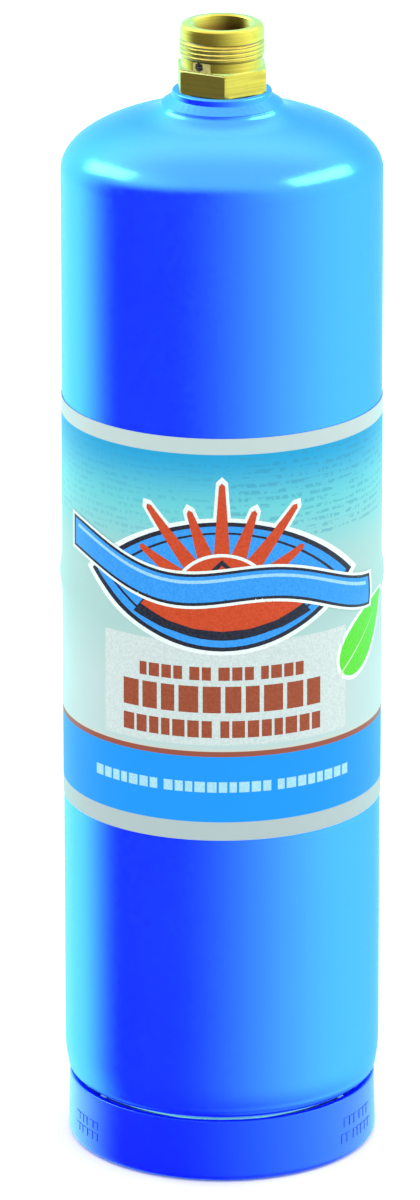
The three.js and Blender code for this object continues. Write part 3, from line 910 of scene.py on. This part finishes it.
def washer(inner_r, outer_r, bottom, top):
    """A ring with slightly broken edges."""
    profile = [
        (inner_r, bottom + EDGE),
        (inner_r + EDGE, bottom),
        (outer_r - EDGE, bottom),
        (outer_r, bottom + EDGE),
        (outer_r, top - EDGE),
        (outer_r - EDGE, top),
        (inner_r + EDGE, top),
        (inner_r, top - EDGE),
    ]
    return turned(profile, SMALL_SEGMENTS)


def stepped(*steps):
    """A solid turned bar from (radius, bottom, top) steps, each with broken edges."""
    profile = [(0, steps[0][1])]
    for r, bottom, top in steps:
        profile += [(r - EDGE, bottom), (r, bottom + EDGE), (r, top - EDGE), (r - EDGE, top)]
    return turned([*profile, (0, steps[-1][2])], SMALL_SEGMENTS)


def helix(coil_r, wire_r, turns, bottom, top):
    """A coil of round wire whose end turns lie flat."""
    made = bmesh.new()
    steps = COIL_STEPS * turns
    rise = top - bottom - 2 * wire_r
    rings = []
    for i in range(steps + 1):
        turn = turns * i / steps
        angle = 2 * math.pi * turn
        share = min(1.0, max(0.0, (turn - COIL_FLAT_TURNS) / (turns - 2 * COIL_FLAT_TURNS)))
        outward = Vector((math.cos(angle), math.sin(angle), 0))
        centre = outward * coil_r + Vector((0, 0, bottom + wire_r + rise * share))
        ring = []
        for k in range(COIL_SIDES):
            around = 2 * math.pi * k / COIL_SIDES
            up = Vector((0, 0, wire_r * math.sin(around)))
            ring.append(made.verts.new(centre + outward * wire_r * math.cos(around) + up))
        rings.append(ring)
    for low, high in zip(rings, rings[1:]):
        for k in range(COIL_SIDES):
            made.faces.new([low[k], low[k - 1], high[k - 1], high[k]])
    made.faces.new(rings[0])
    made.faces.new(rings[-1][::-1])
    return made


# ---- seals and check core


def valve_o_ring():
    section = arc(O_RING_R, O_RING_Z, O_RING_WIRE_R, 0, 360, 20)[:-1]
    placed("o_ring_valve", turned(section, VALVE_SEGMENTS), RUBBER, "valve_o_ring")


def mouth_gasket():
    bottom_z = MOUTH_FLOOR_Z + GAP
    middle_r = (GASKET_INNER_R + GASKET_R) / 2
    crown_z = GASKET_TOP_Z - GASKET_CROWN
    crown = ellipse_arc(middle_r, crown_z, (GASKET_R - GASKET_INNER_R) / 2, GASKET_CROWN, 0, 180, 16)
    profile = [(GASKET_INNER_R, bottom_z), (GASKET_R, bottom_z), *crown]
    placed("gasket_mouth", turned(profile, VALVE_SEGMENTS), RUBBER, "mouth_gasket")


def core_housing():
    profile = [
        (CHAMBER_R, HOUSING_BOTTOM_Z),
        (HOUSING_R - EDGE, HOUSING_BOTTOM_Z),
        (HOUSING_R, HOUSING_BOTTOM_Z + EDGE),
        (HOUSING_R, HOUSING_TOP_Z - 2 * EDGE),
        (HOUSING_R - 2 * EDGE, HOUSING_TOP_Z),
        (PIN_BORE_R + 2 * EDGE, HOUSING_TOP_Z),
        (PIN_BORE_R, HOUSING_TOP_Z - 2 * EDGE),
        (PIN_BORE_R, CHAMBER_TOP_Z),
        (CHAMBER_R, CHAMBER_TOP_Z),
    ]
    placed("housing_core", turned(profile, VALVE_SEGMENTS), BRASS, "core_housing")


def core_retainer():
    """A washer with gas notches round its edge."""

    def notched(angle, r, z):
        across = RETAINER_R * abs(math.sin(RETAINER_NOTCHES * angle / 2)) * 2 / RETAINER_NOTCHES
        if r < RETAINER_R - 2 * EDGE or across >= RETAINER_NOTCH_R:
            return r, z
        return r - math.sqrt(RETAINER_NOTCH_R**2 - across**2), z

    profile = [
        (RETAINER_HOLE_R, RETAINER_BOTTOM_Z),
        (RETAINER_R, RETAINER_BOTTOM_Z),
        (RETAINER_R, RETAINER_TOP_Z),
        (RETAINER_HOLE_R, RETAINER_TOP_Z),
    ]
    made = turned(profile, VALVE_SEGMENTS, shape=notched)
    placed("retainer_core", made, BRASS, "core_retainer")


def core_pin():
    made = stepped(
        (PIN_STEM_R, PIN_STEM_BOTTOM_Z, PIN_HEAD_BOTTOM_Z),
        (PIN_HEAD_R, PIN_HEAD_BOTTOM_Z, PIN_HEAD_TOP_Z),
        (PIN_R, PIN_HEAD_TOP_Z, PIN_TIP_Z),
    )
    placed("pin_core", made, BRASS, "core_pin")


def core_seal():
    made = washer(SEAL_INNER_R, SEAL_R, PIN_HEAD_TOP_Z + GAP, CHAMBER_TOP_Z - GAP)
    placed("seal_core", made, RUBBER, "core_seal")


def core_spring():
    piece = placed("spring_core", helix(**CORE_SPRING), STEEL, "core_spring")
    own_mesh(piece)


valve_o_ring()
mouth_gasket()
core_housing()
core_retainer()
core_pin()
core_seal()
core_spring()

# ---- bleed screw and dip tube


def bleed_screw():
    """A slotted grub screw in the side of the collar, with a fine thread."""

    def threaded(angle, r, z):
        wave = math.sin(2 * math.pi * (z / SCREW_PITCH) - angle)
        return (r + 0.05 * (wave - 1), z) if r > 0.9 * SCREW_R else (r, z)

    rows = finer([(SCREW_R, SCREW_START), (SCREW_R, SCREW_END)], SCREW_PITCH / 6)
    profile = [(0, SCREW_START), *rows, (SCREW_R - 2 * EDGE, SCREW_END + 0.01), (0, SCREW_END + 0.01)]
    where = sideways(BLEED_TURN_DEG, BLEED_Z)
    # The screw and its slot are near-black brass: painted shade for a screw sitting in its hole.
    slot = cutter(block(4 * SCREW_R, SLOT_WIDTH, 2 * SLOT_DEPTH, SCREW_END), where, SHADED_BRASS)
    made = turned(profile, SMALL_SEGMENTS, shape=threaded)
    cut(placed("screw_bleed", made, SHADED_BRASS, "bleed_screw", where), [slot])


def bleed_pad():
    made = stepped((PAD_R, PAD_START, PAD_END))
    placed("pad_bleed", made, RUBBER, "bleed_pad", sideways(BLEED_TURN_DEG, BLEED_Z))


def dip_tube():
    made = washer(TUBE_BORE_R, TUBE_R, TUBE_BOTTOM_Z, TUBE_TOP_Z)
    placed("tube_dip", made, BRASS, "dip_tube", upright(BLEED_TURN_DEG, PASSAGE_AXIS_R))


bleed_screw()
bleed_pad()
dip_tube()

# ---- relief valve


def relief_valve():
    where = upright(BLEED_TURN_DEG + 180, RELIEF_AXIS_R)
    seat = washer(RELIEF_ORIFICE_R, RELIEF_SEAT_R, RELIEF_SEAT_BOTTOM_Z, RELIEF_SEAT_TOP_Z)
    placed("seat_relief", seat, BRASS, "relief_seat", where)
    seal = stepped((RELIEF_SEAL_R, RELIEF_SEAT_TOP_Z + GAP, RELIEF_SEAL_TOP_Z))
    placed("seal_relief", seal, RUBBER, "relief_seal", where)
    poppet = stepped(
        (POPPET_R, RELIEF_SEAL_TOP_Z + GAP, POPPET_TOP_Z),
        (POPPET_STEM_R, POPPET_TOP_Z, POPPET_STEM_TOP_Z),
    )
    placed("poppet_relief", poppet, BRASS, "relief_poppet", where)
    coil = placed("spring_relief", helix(**RELIEF_SPRING), STEEL, "relief_spring", where)
    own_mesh(coil)


relief_valve()

# ---- label


def ink(name, colour):
    """A printed colour: slightly uneven, as ink on film is."""
    paint = Paint(name)
    grain = paint.noise(1800, 3)
    thin = tuple(min(1.0, 1.12 * c + 0.01) for c in colour) + (1,)
    paint.set(Base_Color=paint.mix(paint.ramp(grain, 0.35, 0.65), (*colour, 1), thin))
    paint.set(Roughness=paint.ramp(grain, 0.3, 0.7, 0.36, 0.46), Specular_IOR_Level=0.12)
    paint.bump(grain, 0.006)
    return paint.material


def label_print():
    """The sleeve's background: a sky fading to pale mint, a blue band, plain edges and fine print."""
    paint = Paint("label_print")
    z = paint.height()
    turn = paint.turn_of(paint.place)

    def above(height):
        return paint.ramp(z, height - 0.08, height + 0.08)

    sky = paint.mix(paint.ramp(z, *MINT_FADE), PANEL_MINT, MINT)
    sky = paint.mix(paint.ramp(z, *AQUA_FADE), sky, AQUA)
    sky = paint.mix(paint.ramp(z, *BLUE_FADE), sky, SKY_BLUE)
    rows = paint.math("ABSOLUTE", paint.math("SINE", paint.product(z, math.pi / FINE_PRINT_PITCH)))
    letters = paint.noise(1, 1, paint.stretched(900, 900, 520))
    words = paint.noise(1, 0, paint.stretched(130, 130, 1100))
    printed = paint.product(
        paint.ramp(rows, 0.55, 0.75),
        paint.ramp(letters, 0.45, 0.55),
        paint.ramp(words, 0.38, 0.42),
        above(FINE_PRINT_BOTTOM_Z),
        paint.ramp(turn, -4, 6, 0.5, 1),
        FINE_PRINT_STRENGTH,
    )
    sky = paint.mix(printed, sky, FINE_PRINT)
    face = paint.mix(above(CREAM_TOP_Z), CREAM, sky)
    face = paint.mix(above(RUST_TOP_Z), RUST, face)
    face = paint.mix(above(BAND_TOP_Z), BAND_BLUE, face)
    face = paint.mix(above(BAND_BOTTOM_Z), EDGE_GREY, face)
    face = paint.mix(above(EDGE_BOTTOM_Z), face, EDGE_WHITE)
    paint.set(Base_Color=face)
    film = paint.noise(40, 3)
    paint.set(Roughness=paint.ramp(film, 0.3, 0.7, 0.36, 0.46), Specular_IOR_Level=0.12)
    paint.bump(film, 0.12, 0.5)
    return paint.material


def label():
    heights = [LABEL_BOTTOM_Z + (LABEL_TOP_Z - LABEL_BOTTOM_Z) * i / 100 for i in range(101)]
    inner = [(LABEL_R + seam_rise(h), h) for h in heights]
    outer = [(LABEL_R + LABEL_THICKNESS + seam_rise(h), h) for h in heights]
    made = turned([*inner[::-1], *outer], SHELL_SEGMENTS)
    placed("sleeve_label", made, label_print(), "label_sleeve")


label()

# ---- label artwork
# Drawn flat in (across, z), where across is millimetres round the sleeve from the front, then wrapped on.

PRINT_R = LABEL_R + LABEL_THICKNESS
PRINT_THICKNESS = 0.8 * INK_THICKNESS


def print_radius(z):
    return PRINT_R + seam_rise(z)


def ring_radius(z):
    """Outside of the foot ring at a height."""
    share = (z - RING_EDGE_R) / (RING_TOP_Z - RING_LIP_R - RING_EDGE_R)
    return RING_R + (RING_TOP_R - RING_R) * share


def slice_up(made, places, normal):
    """Cuts every face along planes across one axis, so that it can bend between them."""
    for place in places:
        whole = [*made.verts, *made.edges, *made.faces]
        bmesh.ops.bisect_plane(made, geom=whole, plane_co=place, plane_no=normal, dist=1e-5)


def face_outwards(made):
    """Turns round the faces that look towards the cylinder's axis."""
    made.normal_update()
    inward = []
    for face in made.faces:
        outward = face.calc_center_median() * Vector((1, 1, 0))
        if face.normal.dot(outward) < 0:
            inward.append(face)
    bmesh.ops.reverse_faces(made, faces=inward)


def wrapped(
    name, outlines, rise, material, radius=print_radius, thickness=PRINT_THICKNESS
):
    """Flat (across, z) outlines wrapped round the cylinder as a thin sheet, rise above radius(z)."""
    made = bmesh.new()
    for outline in outlines:
        made.faces.new([made.verts.new((across, 0, z)) for across, z in outline])
    edges = [across for outline in outlines for across, _ in outline]
    strips = math.ceil((max(edges) - min(edges)) / STRIP_WIDTH)
    width = (max(edges) - min(edges)) / strips
    slice_up(made, [(min(edges) + width * i, 0, 0) for i in range(1, strips)], (1, 0, 0))
    slice_up(made, [(0, 0, SEAM_Z + SEAM_WIDTH * (i / 12 - 0.5)) for i in range(13)], (0, 0, 1))
    bmesh.ops.triangulate(made, faces=made.faces, ngon_method="EAR_CLIP")
    for vert in made.verts:
        across, _, z = vert.co
        angle = across / radius(z)
        r = radius(z) + rise
        vert.co = (r * math.sin(angle), -r * math.cos(angle), z)
    face_outwards(made)
    piece = linked(name, made, material)
    sheet = piece.modifiers.new("thickness", "SOLIDIFY")
    sheet.thickness = thickness * MM
    sheet.offset = -1
    apply_modifiers(piece)
    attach(piece, "tank")


def box_outline(left, right, bottom, top):
    return [(left, bottom), (right, bottom), (right, top), (left, top)]


def lens(half_width, low, high, steps=24):
    """The badge's pointed oval, between two arcs that meet at its left and right tips."""
    upper, lower = [], []
    for i in range(steps + 1):
        t = -1 + 2 * i / steps
        upper.append((half_width * t, BADGE_Z + (high - BADGE_Z) * (1 - t * t)))
        lower.append((half_width * t, BADGE_Z - (BADGE_Z - low) * (1 - t * t)))
    return lower + upper[-2:0:-1]


def ray(turn_deg, inner, outer, half_inner, half_outer):
    """One tapered ray of the sun, turn_deg right of upright."""
    turn = math.radians(turn_deg)
    along = Vector((math.sin(turn), math.cos(turn)))
    side = Vector((along.y, -along.x))
    centre = Vector((0, SUN_Z))
    corners = [
        centre + along * inner - side * half_inner,
        centre + along * inner + side * half_inner,
        centre + along * outer + side * half_outer,
        centre + along * (outer + half_outer),
        centre + along * outer - side * half_outer,
    ]
    return [tuple(c) for c in corners]


def ribbon_middle(across):
    return RIBBON_Z - RIBBON_FALL * across + RIBBON_WAVE * math.sin(across / RIBBON_WAVELENGTH)


def ribbon(low, high, half_width, steps=40):
    """A waving ribbon across the badge, from low to high above its middle line."""
    places = [half_width * (2 * i / steps - 1) for i in range(steps + 1)]
    lower = [(across, ribbon_middle(across) + low) for across in places]
    upper = [(across, ribbon_middle(across) + high) for across in places]
    return lower + upper[::-1]


def ridge(border):
    """A generic row of peaks on the badge's lower edge, made larger all round by border."""
    half = 20 + 2 * border
    base = [(half * t, 140.2 - 2 * border + 5.5 * t * t) for t in (-1, -0.66, -0.33, 0, 0.33, 0.66, 1)]
    peaks = [(14.5, 151), (9.5, 147.5), (0, 156.5), (-8, 148.5), (-13.5, 152.5)]
    return base + [(across, z + 1.4 * border) for across, z in peaks]


def leaf(border):
    """A pointed leaf on the right of the sleeve, made larger all round by border."""
    tilt = math.radians(LEAF_TILT_DEG)
    outline = []
    for i in range(32):
        t = 2 * math.pi * i / 32
        along = (LEAF_LENGTH / 2 + border) * math.cos(t)
        out = (LEAF_WIDTH / 2 + border) * math.sin(t) * (1 - 0.35 * math.cos(t))
        outline.append(
            (
                LEAF_ACROSS + along * math.cos(tilt) - out * math.sin(tilt),
                LEAF_Z + along * math.sin(tilt) + out * math.cos(tilt),
            )
        )
    return outline


def leaf_vein():
    tilt = math.radians(LEAF_TILT_DEG)
    along = Vector((math.cos(tilt), math.sin(tilt)))
    side = Vector((-along.y, along.x))
    centre = Vector((LEAF_ACROSS, LEAF_Z))
    tail = centre - along * (0.5 * LEAF_LENGTH + 1)
    tip = centre + along * (0.36 * LEAF_LENGTH)
    return [tuple(tail - side * 0.3), tuple(tip), tuple(tail + side * 0.3)]


def marks(words, left, right, bottom, top):
    """A line of plain blocks in place of lettering: words is the number of blocks in each group."""
    widths = [[0.7 + 0.1 * ((3 * i + 5 * count) % 4) for i in range(count)] for count in words]
    total = sum(map(sum, widths)) + MARK_GAP * (sum(words) + 2 * len(words) - 3)
    unit = (right - left) / total
    outlines = []
    at = left
    for group in widths:
        for width in group:
            outlines.append(box_outline(at, at + width * unit, bottom, top))
            at += (width + MARK_GAP) * unit
        at += 2 * MARK_GAP * unit
    return outlines


def artwork():
    white = ink("ink_white", (0.55, 0.63, 0.61))
    black = ink("ink_black", (0.012, 0.015, 0.03))
    blue = ink("ink_blue", (0.02, 0.22, 0.60))
    pale_blue = ink("ink_pale_blue", (0.22, 0.45, 0.62))
    orange = ink("ink_orange", (0.41, 0.045, 0.01))
    rust = ink("ink_rust", (0.23, 0.05, 0.02))
    panel = ink("ink_panel", (0.41, 0.49, 0.48))
    motto = ink("ink_motto", (0.26, 0.50, 0.58))
    green = ink("ink_green", (0.07, 0.48, 0.02))
    pale_green = ink("ink_pale_green", (0.35, 0.62, 0.28))

    rays = list(range(-3, 4))
    lengths = [LONG_RAY if i % 2 == 0 else SHORT_RAY for i in rays]
    ray_halos = [ray(RAY_STEP * i, 9, length + 0.9, 3.0, 1.4) for i, length in zip(rays, lengths)]
    ray_cores = [ray(RAY_STEP * i, 12, length, 1.9, 0.7) for i, length in zip(rays, lengths)]
    layers = [
        ("ray_halo", ray_halos, white),
        ("badge_halo", [lens(37.5, 134.2, 168.2)], white),
        ("badge_edge", [lens(35.4, 135.2, 167.2)], black),
        ("badge_field", [lens(33.4, 136.2, 166.2)], blue),
        ("badge_line", [lens(30.2, 137.9, 164.7)], black),
        ("badge_inner", [lens(29.2, 138.4, 164.2)], blue),
        ("rays", ray_cores, orange),
        ("sun_edge", [arc(0, SUN_Z, SUN_R + 0.8, 0, 180, SUN_STEPS)], white),
        ("sun", [arc(0, SUN_Z, SUN_R, 0, 180, SUN_STEPS)], orange),
        ("ridge_edge", [ridge(1.0)], black),
        ("ridge", [ridge(0.0)], orange),
        ("ribbon_halo", [ribbon(-4.6, 4.6, 44.6)], white),
        ("ribbon_edge", [ribbon(-3.9, 3.9, 43.7)], black),
        ("ribbon", [ribbon(-3.2, 3.2, 42.9)], blue),
        ("ribbon_shine", [ribbon(1.5, 2.3, 41.5)], pale_blue),
    ]
    for layer, (name, outlines, material) in enumerate(layers, 1):
        wrapped("print_" + name, outlines, layer * INK_THICKNESS, material)

    wrapped("print_panel", [box_outline(*PANEL_BOX)], INK_THICKNESS, panel)
    lines = marks((4, 2, 3, 4), -20.4, 20.2, 127.9, 131.2)
    lines += marks((10,), -25, 25, 119.8, 126.4)
    lines += marks((7, 8), -25, 25, 113.6, 117.8)
    wrapped("print_lines", lines, 2 * INK_THICKNESS, rust)
    wrapped("print_motto", marks((7, 10, 8), -34.2, 34.2, 99.9, 102.5), INK_THICKNESS, motto)
    wrapped("print_leaf_edge", [leaf(1.0)], INK_THICKNESS, white)
    wrapped("print_leaf", [leaf(0.0)], 2 * INK_THICKNESS, green)
    wrapped("print_leaf_vein", [leaf_vein()], 3 * INK_THICKNESS, pale_green)


artwork()

# ---- tack welds and stamps on the foot ring


def tack_weld(index):
    """A rippled bead between the foot ring and the shell."""
    made = bmesh.new()
    bmesh.ops.create_icosphere(made, subdivisions=4, radius=1)
    for vert in made.verts:
        ripple = 1 - TACK_RIPPLE * (1 + math.cos(9 * vert.co.y + 2 * vert.co.z)) / 2
        vert.co = [ripple * half * value for half, value in zip(TACK_HALF_SIZE, vert.co)]
    turn = Matrix.Rotation(2 * math.pi * (index + 0.5) / TACK_COUNT, 4, "Z")
    place = turn @ Matrix.Translation((TACK_R, 0, TACK_Z))
    placed(f"weld_tack_{index + 1}", made, RING_BLUE, f"foot_tack_weld_{index + 1}", place)


def stamp(name, middle_deg, words, bottom, height):
    """A short row of plain raised bars on the foot ring."""
    middle = math.radians(middle_deg) * RING_R
    half = STAMP_HALF_PITCH * sum(words)
    bars = marks(words, middle - half, middle + half, bottom, bottom + height)
    wrapped(name, bars, STAMP_RISE, RING_BLUE, ring_radius, 2 * STAMP_RISE)


for i in range(TACK_COUNT):
    tack_weld(i)
stamp("stamp_left_upper", -STAMP_DEG, (3, 2), 7.2, 1.9)
stamp("stamp_left_lower", -STAMP_DEG, (5,), 4.4, 1.9)
stamp("stamp_right_upper", STAMP_DEG, (3, 3), 8.3, 2.3)
stamp("stamp_right_lower", STAMP_DEG, (2, 5), 4.4, 2.3)

# ---- mirror images

VALVE_ENDINGS = ("_valve", "_mouth", "_core", "_relief", "_bleed", "_dip")


def leave_out_of_gloss():
    """Hides the valve from every mirroring surface, so that the dome's gloss has no dark image of it."""
    for piece in bpy.data.objects:
        if piece.name.endswith(VALVE_ENDINGS):
            piece.visible_glossy = False


leave_out_of_gloss()

# ---- floor, light and camera


FLOOR_SIZE = 4000
EVEN_LIGHT = 1.5
WHITE = (1, 1, 1, 1)

# What gloss mirrors: the turns, in degrees right of the front, between which each wall rises or falls
RIGHT_TURNS = (-38, 102)
RIGHT_BACK_TURNS = (110, 180)
LEFT_TURNS = (-130, -79)
LEFT_BACK_TURNS = (-180, -145)

# And the levels and tints of the walls, the ceiling and the ground
RIGHT_WALL = 2.2
LEFT_WALL = 2.7
BACK_SHARE_RIGHT = 0.7
BACK_SHARE_LEFT = 0.57
GROUND_SHARE = 0.3
CEILING_FRONT = 1.8
CEILING_BACK = 2.8
CEILING_LEFT_EXTRA = 0.8
FRONT_LIFT = 0.6
FRONT_TINT = (0.85, 1, 1, 1)
BACK_TINT = (0.4, 1, 0.95, 1)

# Softboxes, as seen from the shoulder: (turn, rise) in degrees for each end, and metres
SOFTBOX_DISTANCE = 1.6
SOFTBOX_WIDTH = 0.42
SOFTBOX_RADIANCE = 5
LEFT_ENDS = ((-130, 25), (-101, 49))
RIGHT_ENDS = ((76, 54), (123, 29))

# Camera, in metres, with its lens in millimetres
CAMERA_PLACE = (0, -1.9872, 0.8001)
CAMERA_AIM = (0, 0, 0.1352)
CAMERA_LENS = 262.4
CAMERA_SHIFT = -0.01


def floor():
    """A pale floor that can be seen through from below, so that the underside shows."""
    made = bmesh.new()
    bmesh.ops.create_grid(made, x_segments=1, y_segments=1, size=FLOOR_SIZE)
    paint = Paint("floor_white")
    paint.set(Base_Color=(0.9, 0.9, 0.9, 1), Roughness=0.8)
    nodes = paint.tree.nodes
    one_sided = nodes.new("ShaderNodeMixShader")
    paint.join(nodes.new("ShaderNodeNewGeometry").outputs["Backfacing"], one_sided.inputs[0])
    paint.join(paint.shader.outputs[0], one_sided.inputs[1])
    paint.join(nodes.new("ShaderNodeBsdfTransparent").outputs[0], one_sided.inputs[2])
    paint.join(one_sided.outputs[0], nodes["Material Output"].inputs["Surface"])
    piece = linked("floor", made, paint.material)
    piece.visible_glossy = False


def studio():
    """Even white light from all round. What gloss mirrors is shaped like a studio's walls and ceiling:
    dim at the front left, bright to the right, the back and above."""
    world = bpy.data.worlds.new("studio")
    bpy.context.scene.world = world
    world.use_nodes = True
    nodes = Nodes(world.node_tree)
    background = nodes.tree.nodes["Background"]
    direction = nodes.tree.nodes.new("ShaderNodeTexCoord").outputs["Generated"]
    side, back, up = nodes.split(direction)
    turn = nodes.turn_of(direction)
    right = nodes.product(
        nodes.ramp(turn, *RIGHT_TURNS, 0.0, RIGHT_WALL),
        nodes.ramp(turn, *RIGHT_BACK_TURNS, 1.0, BACK_SHARE_RIGHT),
    )
    left = nodes.product(
        nodes.ramp(turn, *LEFT_TURNS, LEFT_WALL, 0.0),
        nodes.ramp(turn, *LEFT_BACK_TURNS, BACK_SHARE_LEFT, 1.0),
    )
    around = nodes.math("ADD", left, right)
    around = nodes.product(around, nodes.ramp(up, -0.75, -0.4, GROUND_SHARE, 1.0))
    ceiling = nodes.ramp(back, 0.25, 0.75, CEILING_FRONT, CEILING_BACK)
    above = nodes.math("ADD", ceiling, nodes.ramp(side, -0.2, -0.8, 0.0, CEILING_LEFT_EXTRA))
    front = nodes.product(nodes.math("MINIMUM", back, 0.0), FRONT_LIFT)
    overhead = nodes.ramp(nodes.math("ADD", up, front), 0.35, 0.85)
    tint = nodes.ramp(nodes.math("ABSOLUTE", turn), 40, 180)
    side_colour = nodes.mix(tint, FRONT_TINT, BACK_TINT)
    shaped_level = nodes.between(overhead, around, above)
    shaped_colour = nodes.mix(overhead, side_colour, WHITE)
    mirrored = nodes.tree.nodes.new("ShaderNodeLightPath").outputs["Is Glossy Ray"]
    nodes.join(nodes.between(mirrored, EVEN_LIGHT, shaped_level), background.inputs["Strength"])
    nodes.join(nodes.mix(mirrored, WHITE, shaped_colour), background.inputs["Color"])
    world.cycles.sampling_method = "NONE"


def direction_to(turn_deg, rise_deg):
    """Unit vector at an angle right of the front and above the horizon."""
    turn, rise = math.radians(turn_deg), math.radians(rise_deg)
    return Vector((math.sin(turn) * math.cos(rise), -math.cos(turn) * math.cos(rise), math.sin(rise)))


def softbox(name, directions):
    """A long white panel between two directions from the shoulder."""
    centre = Vector((0, 0, SHOULDER_Z * MM))
    ends = [centre + direction_to(*d) * SOFTBOX_DISTANCE for d in directions]
    middle = (ends[0] + ends[1]) / 2
    length = (ends[1] - ends[0]).length
    lamp = bpy.data.lights.new(name, "AREA")
    lamp.shape = "RECTANGLE"
    lamp.size = length
    lamp.size_y = SOFTBOX_WIDTH
    lamp.energy = SOFTBOX_RADIANCE * math.pi * length * SOFTBOX_WIDTH
    panel = bpy.data.objects.new(name, lamp)
    along = (ends[1] - ends[0]).normalized()
    outward = (middle - centre).normalized()
    across = outward.cross(along).normalized()
    outward = along.cross(across)
    turn = Matrix((along, across, outward)).transposed().to_4x4()
    panel.matrix_world = Matrix.Translation(middle) @ turn
    panel.visible_camera = False
    bpy.context.scene.collection.objects.link(panel)


def camera():
    optics = bpy.data.cameras.new("camera")
    optics.lens = CAMERA_LENS
    optics.shift_x = CAMERA_SHIFT
    eye = bpy.data.objects.new("camera", optics)
    eye.location = CAMERA_PLACE
    aim = Vector(CAMERA_AIM) - eye.location
    eye.rotation_euler = aim.to_track_quat("-Z", "Y").to_euler()
    bpy.context.scene.collection.objects.link(eye)
    bpy.context.scene.camera = eye


floor()
studio()
softbox("softbox_left", LEFT_ENDS)
softbox("softbox_right", RIGHT_ENDS)
camera()
bpy.context.scene.view_settings.view_transform = "Standard"
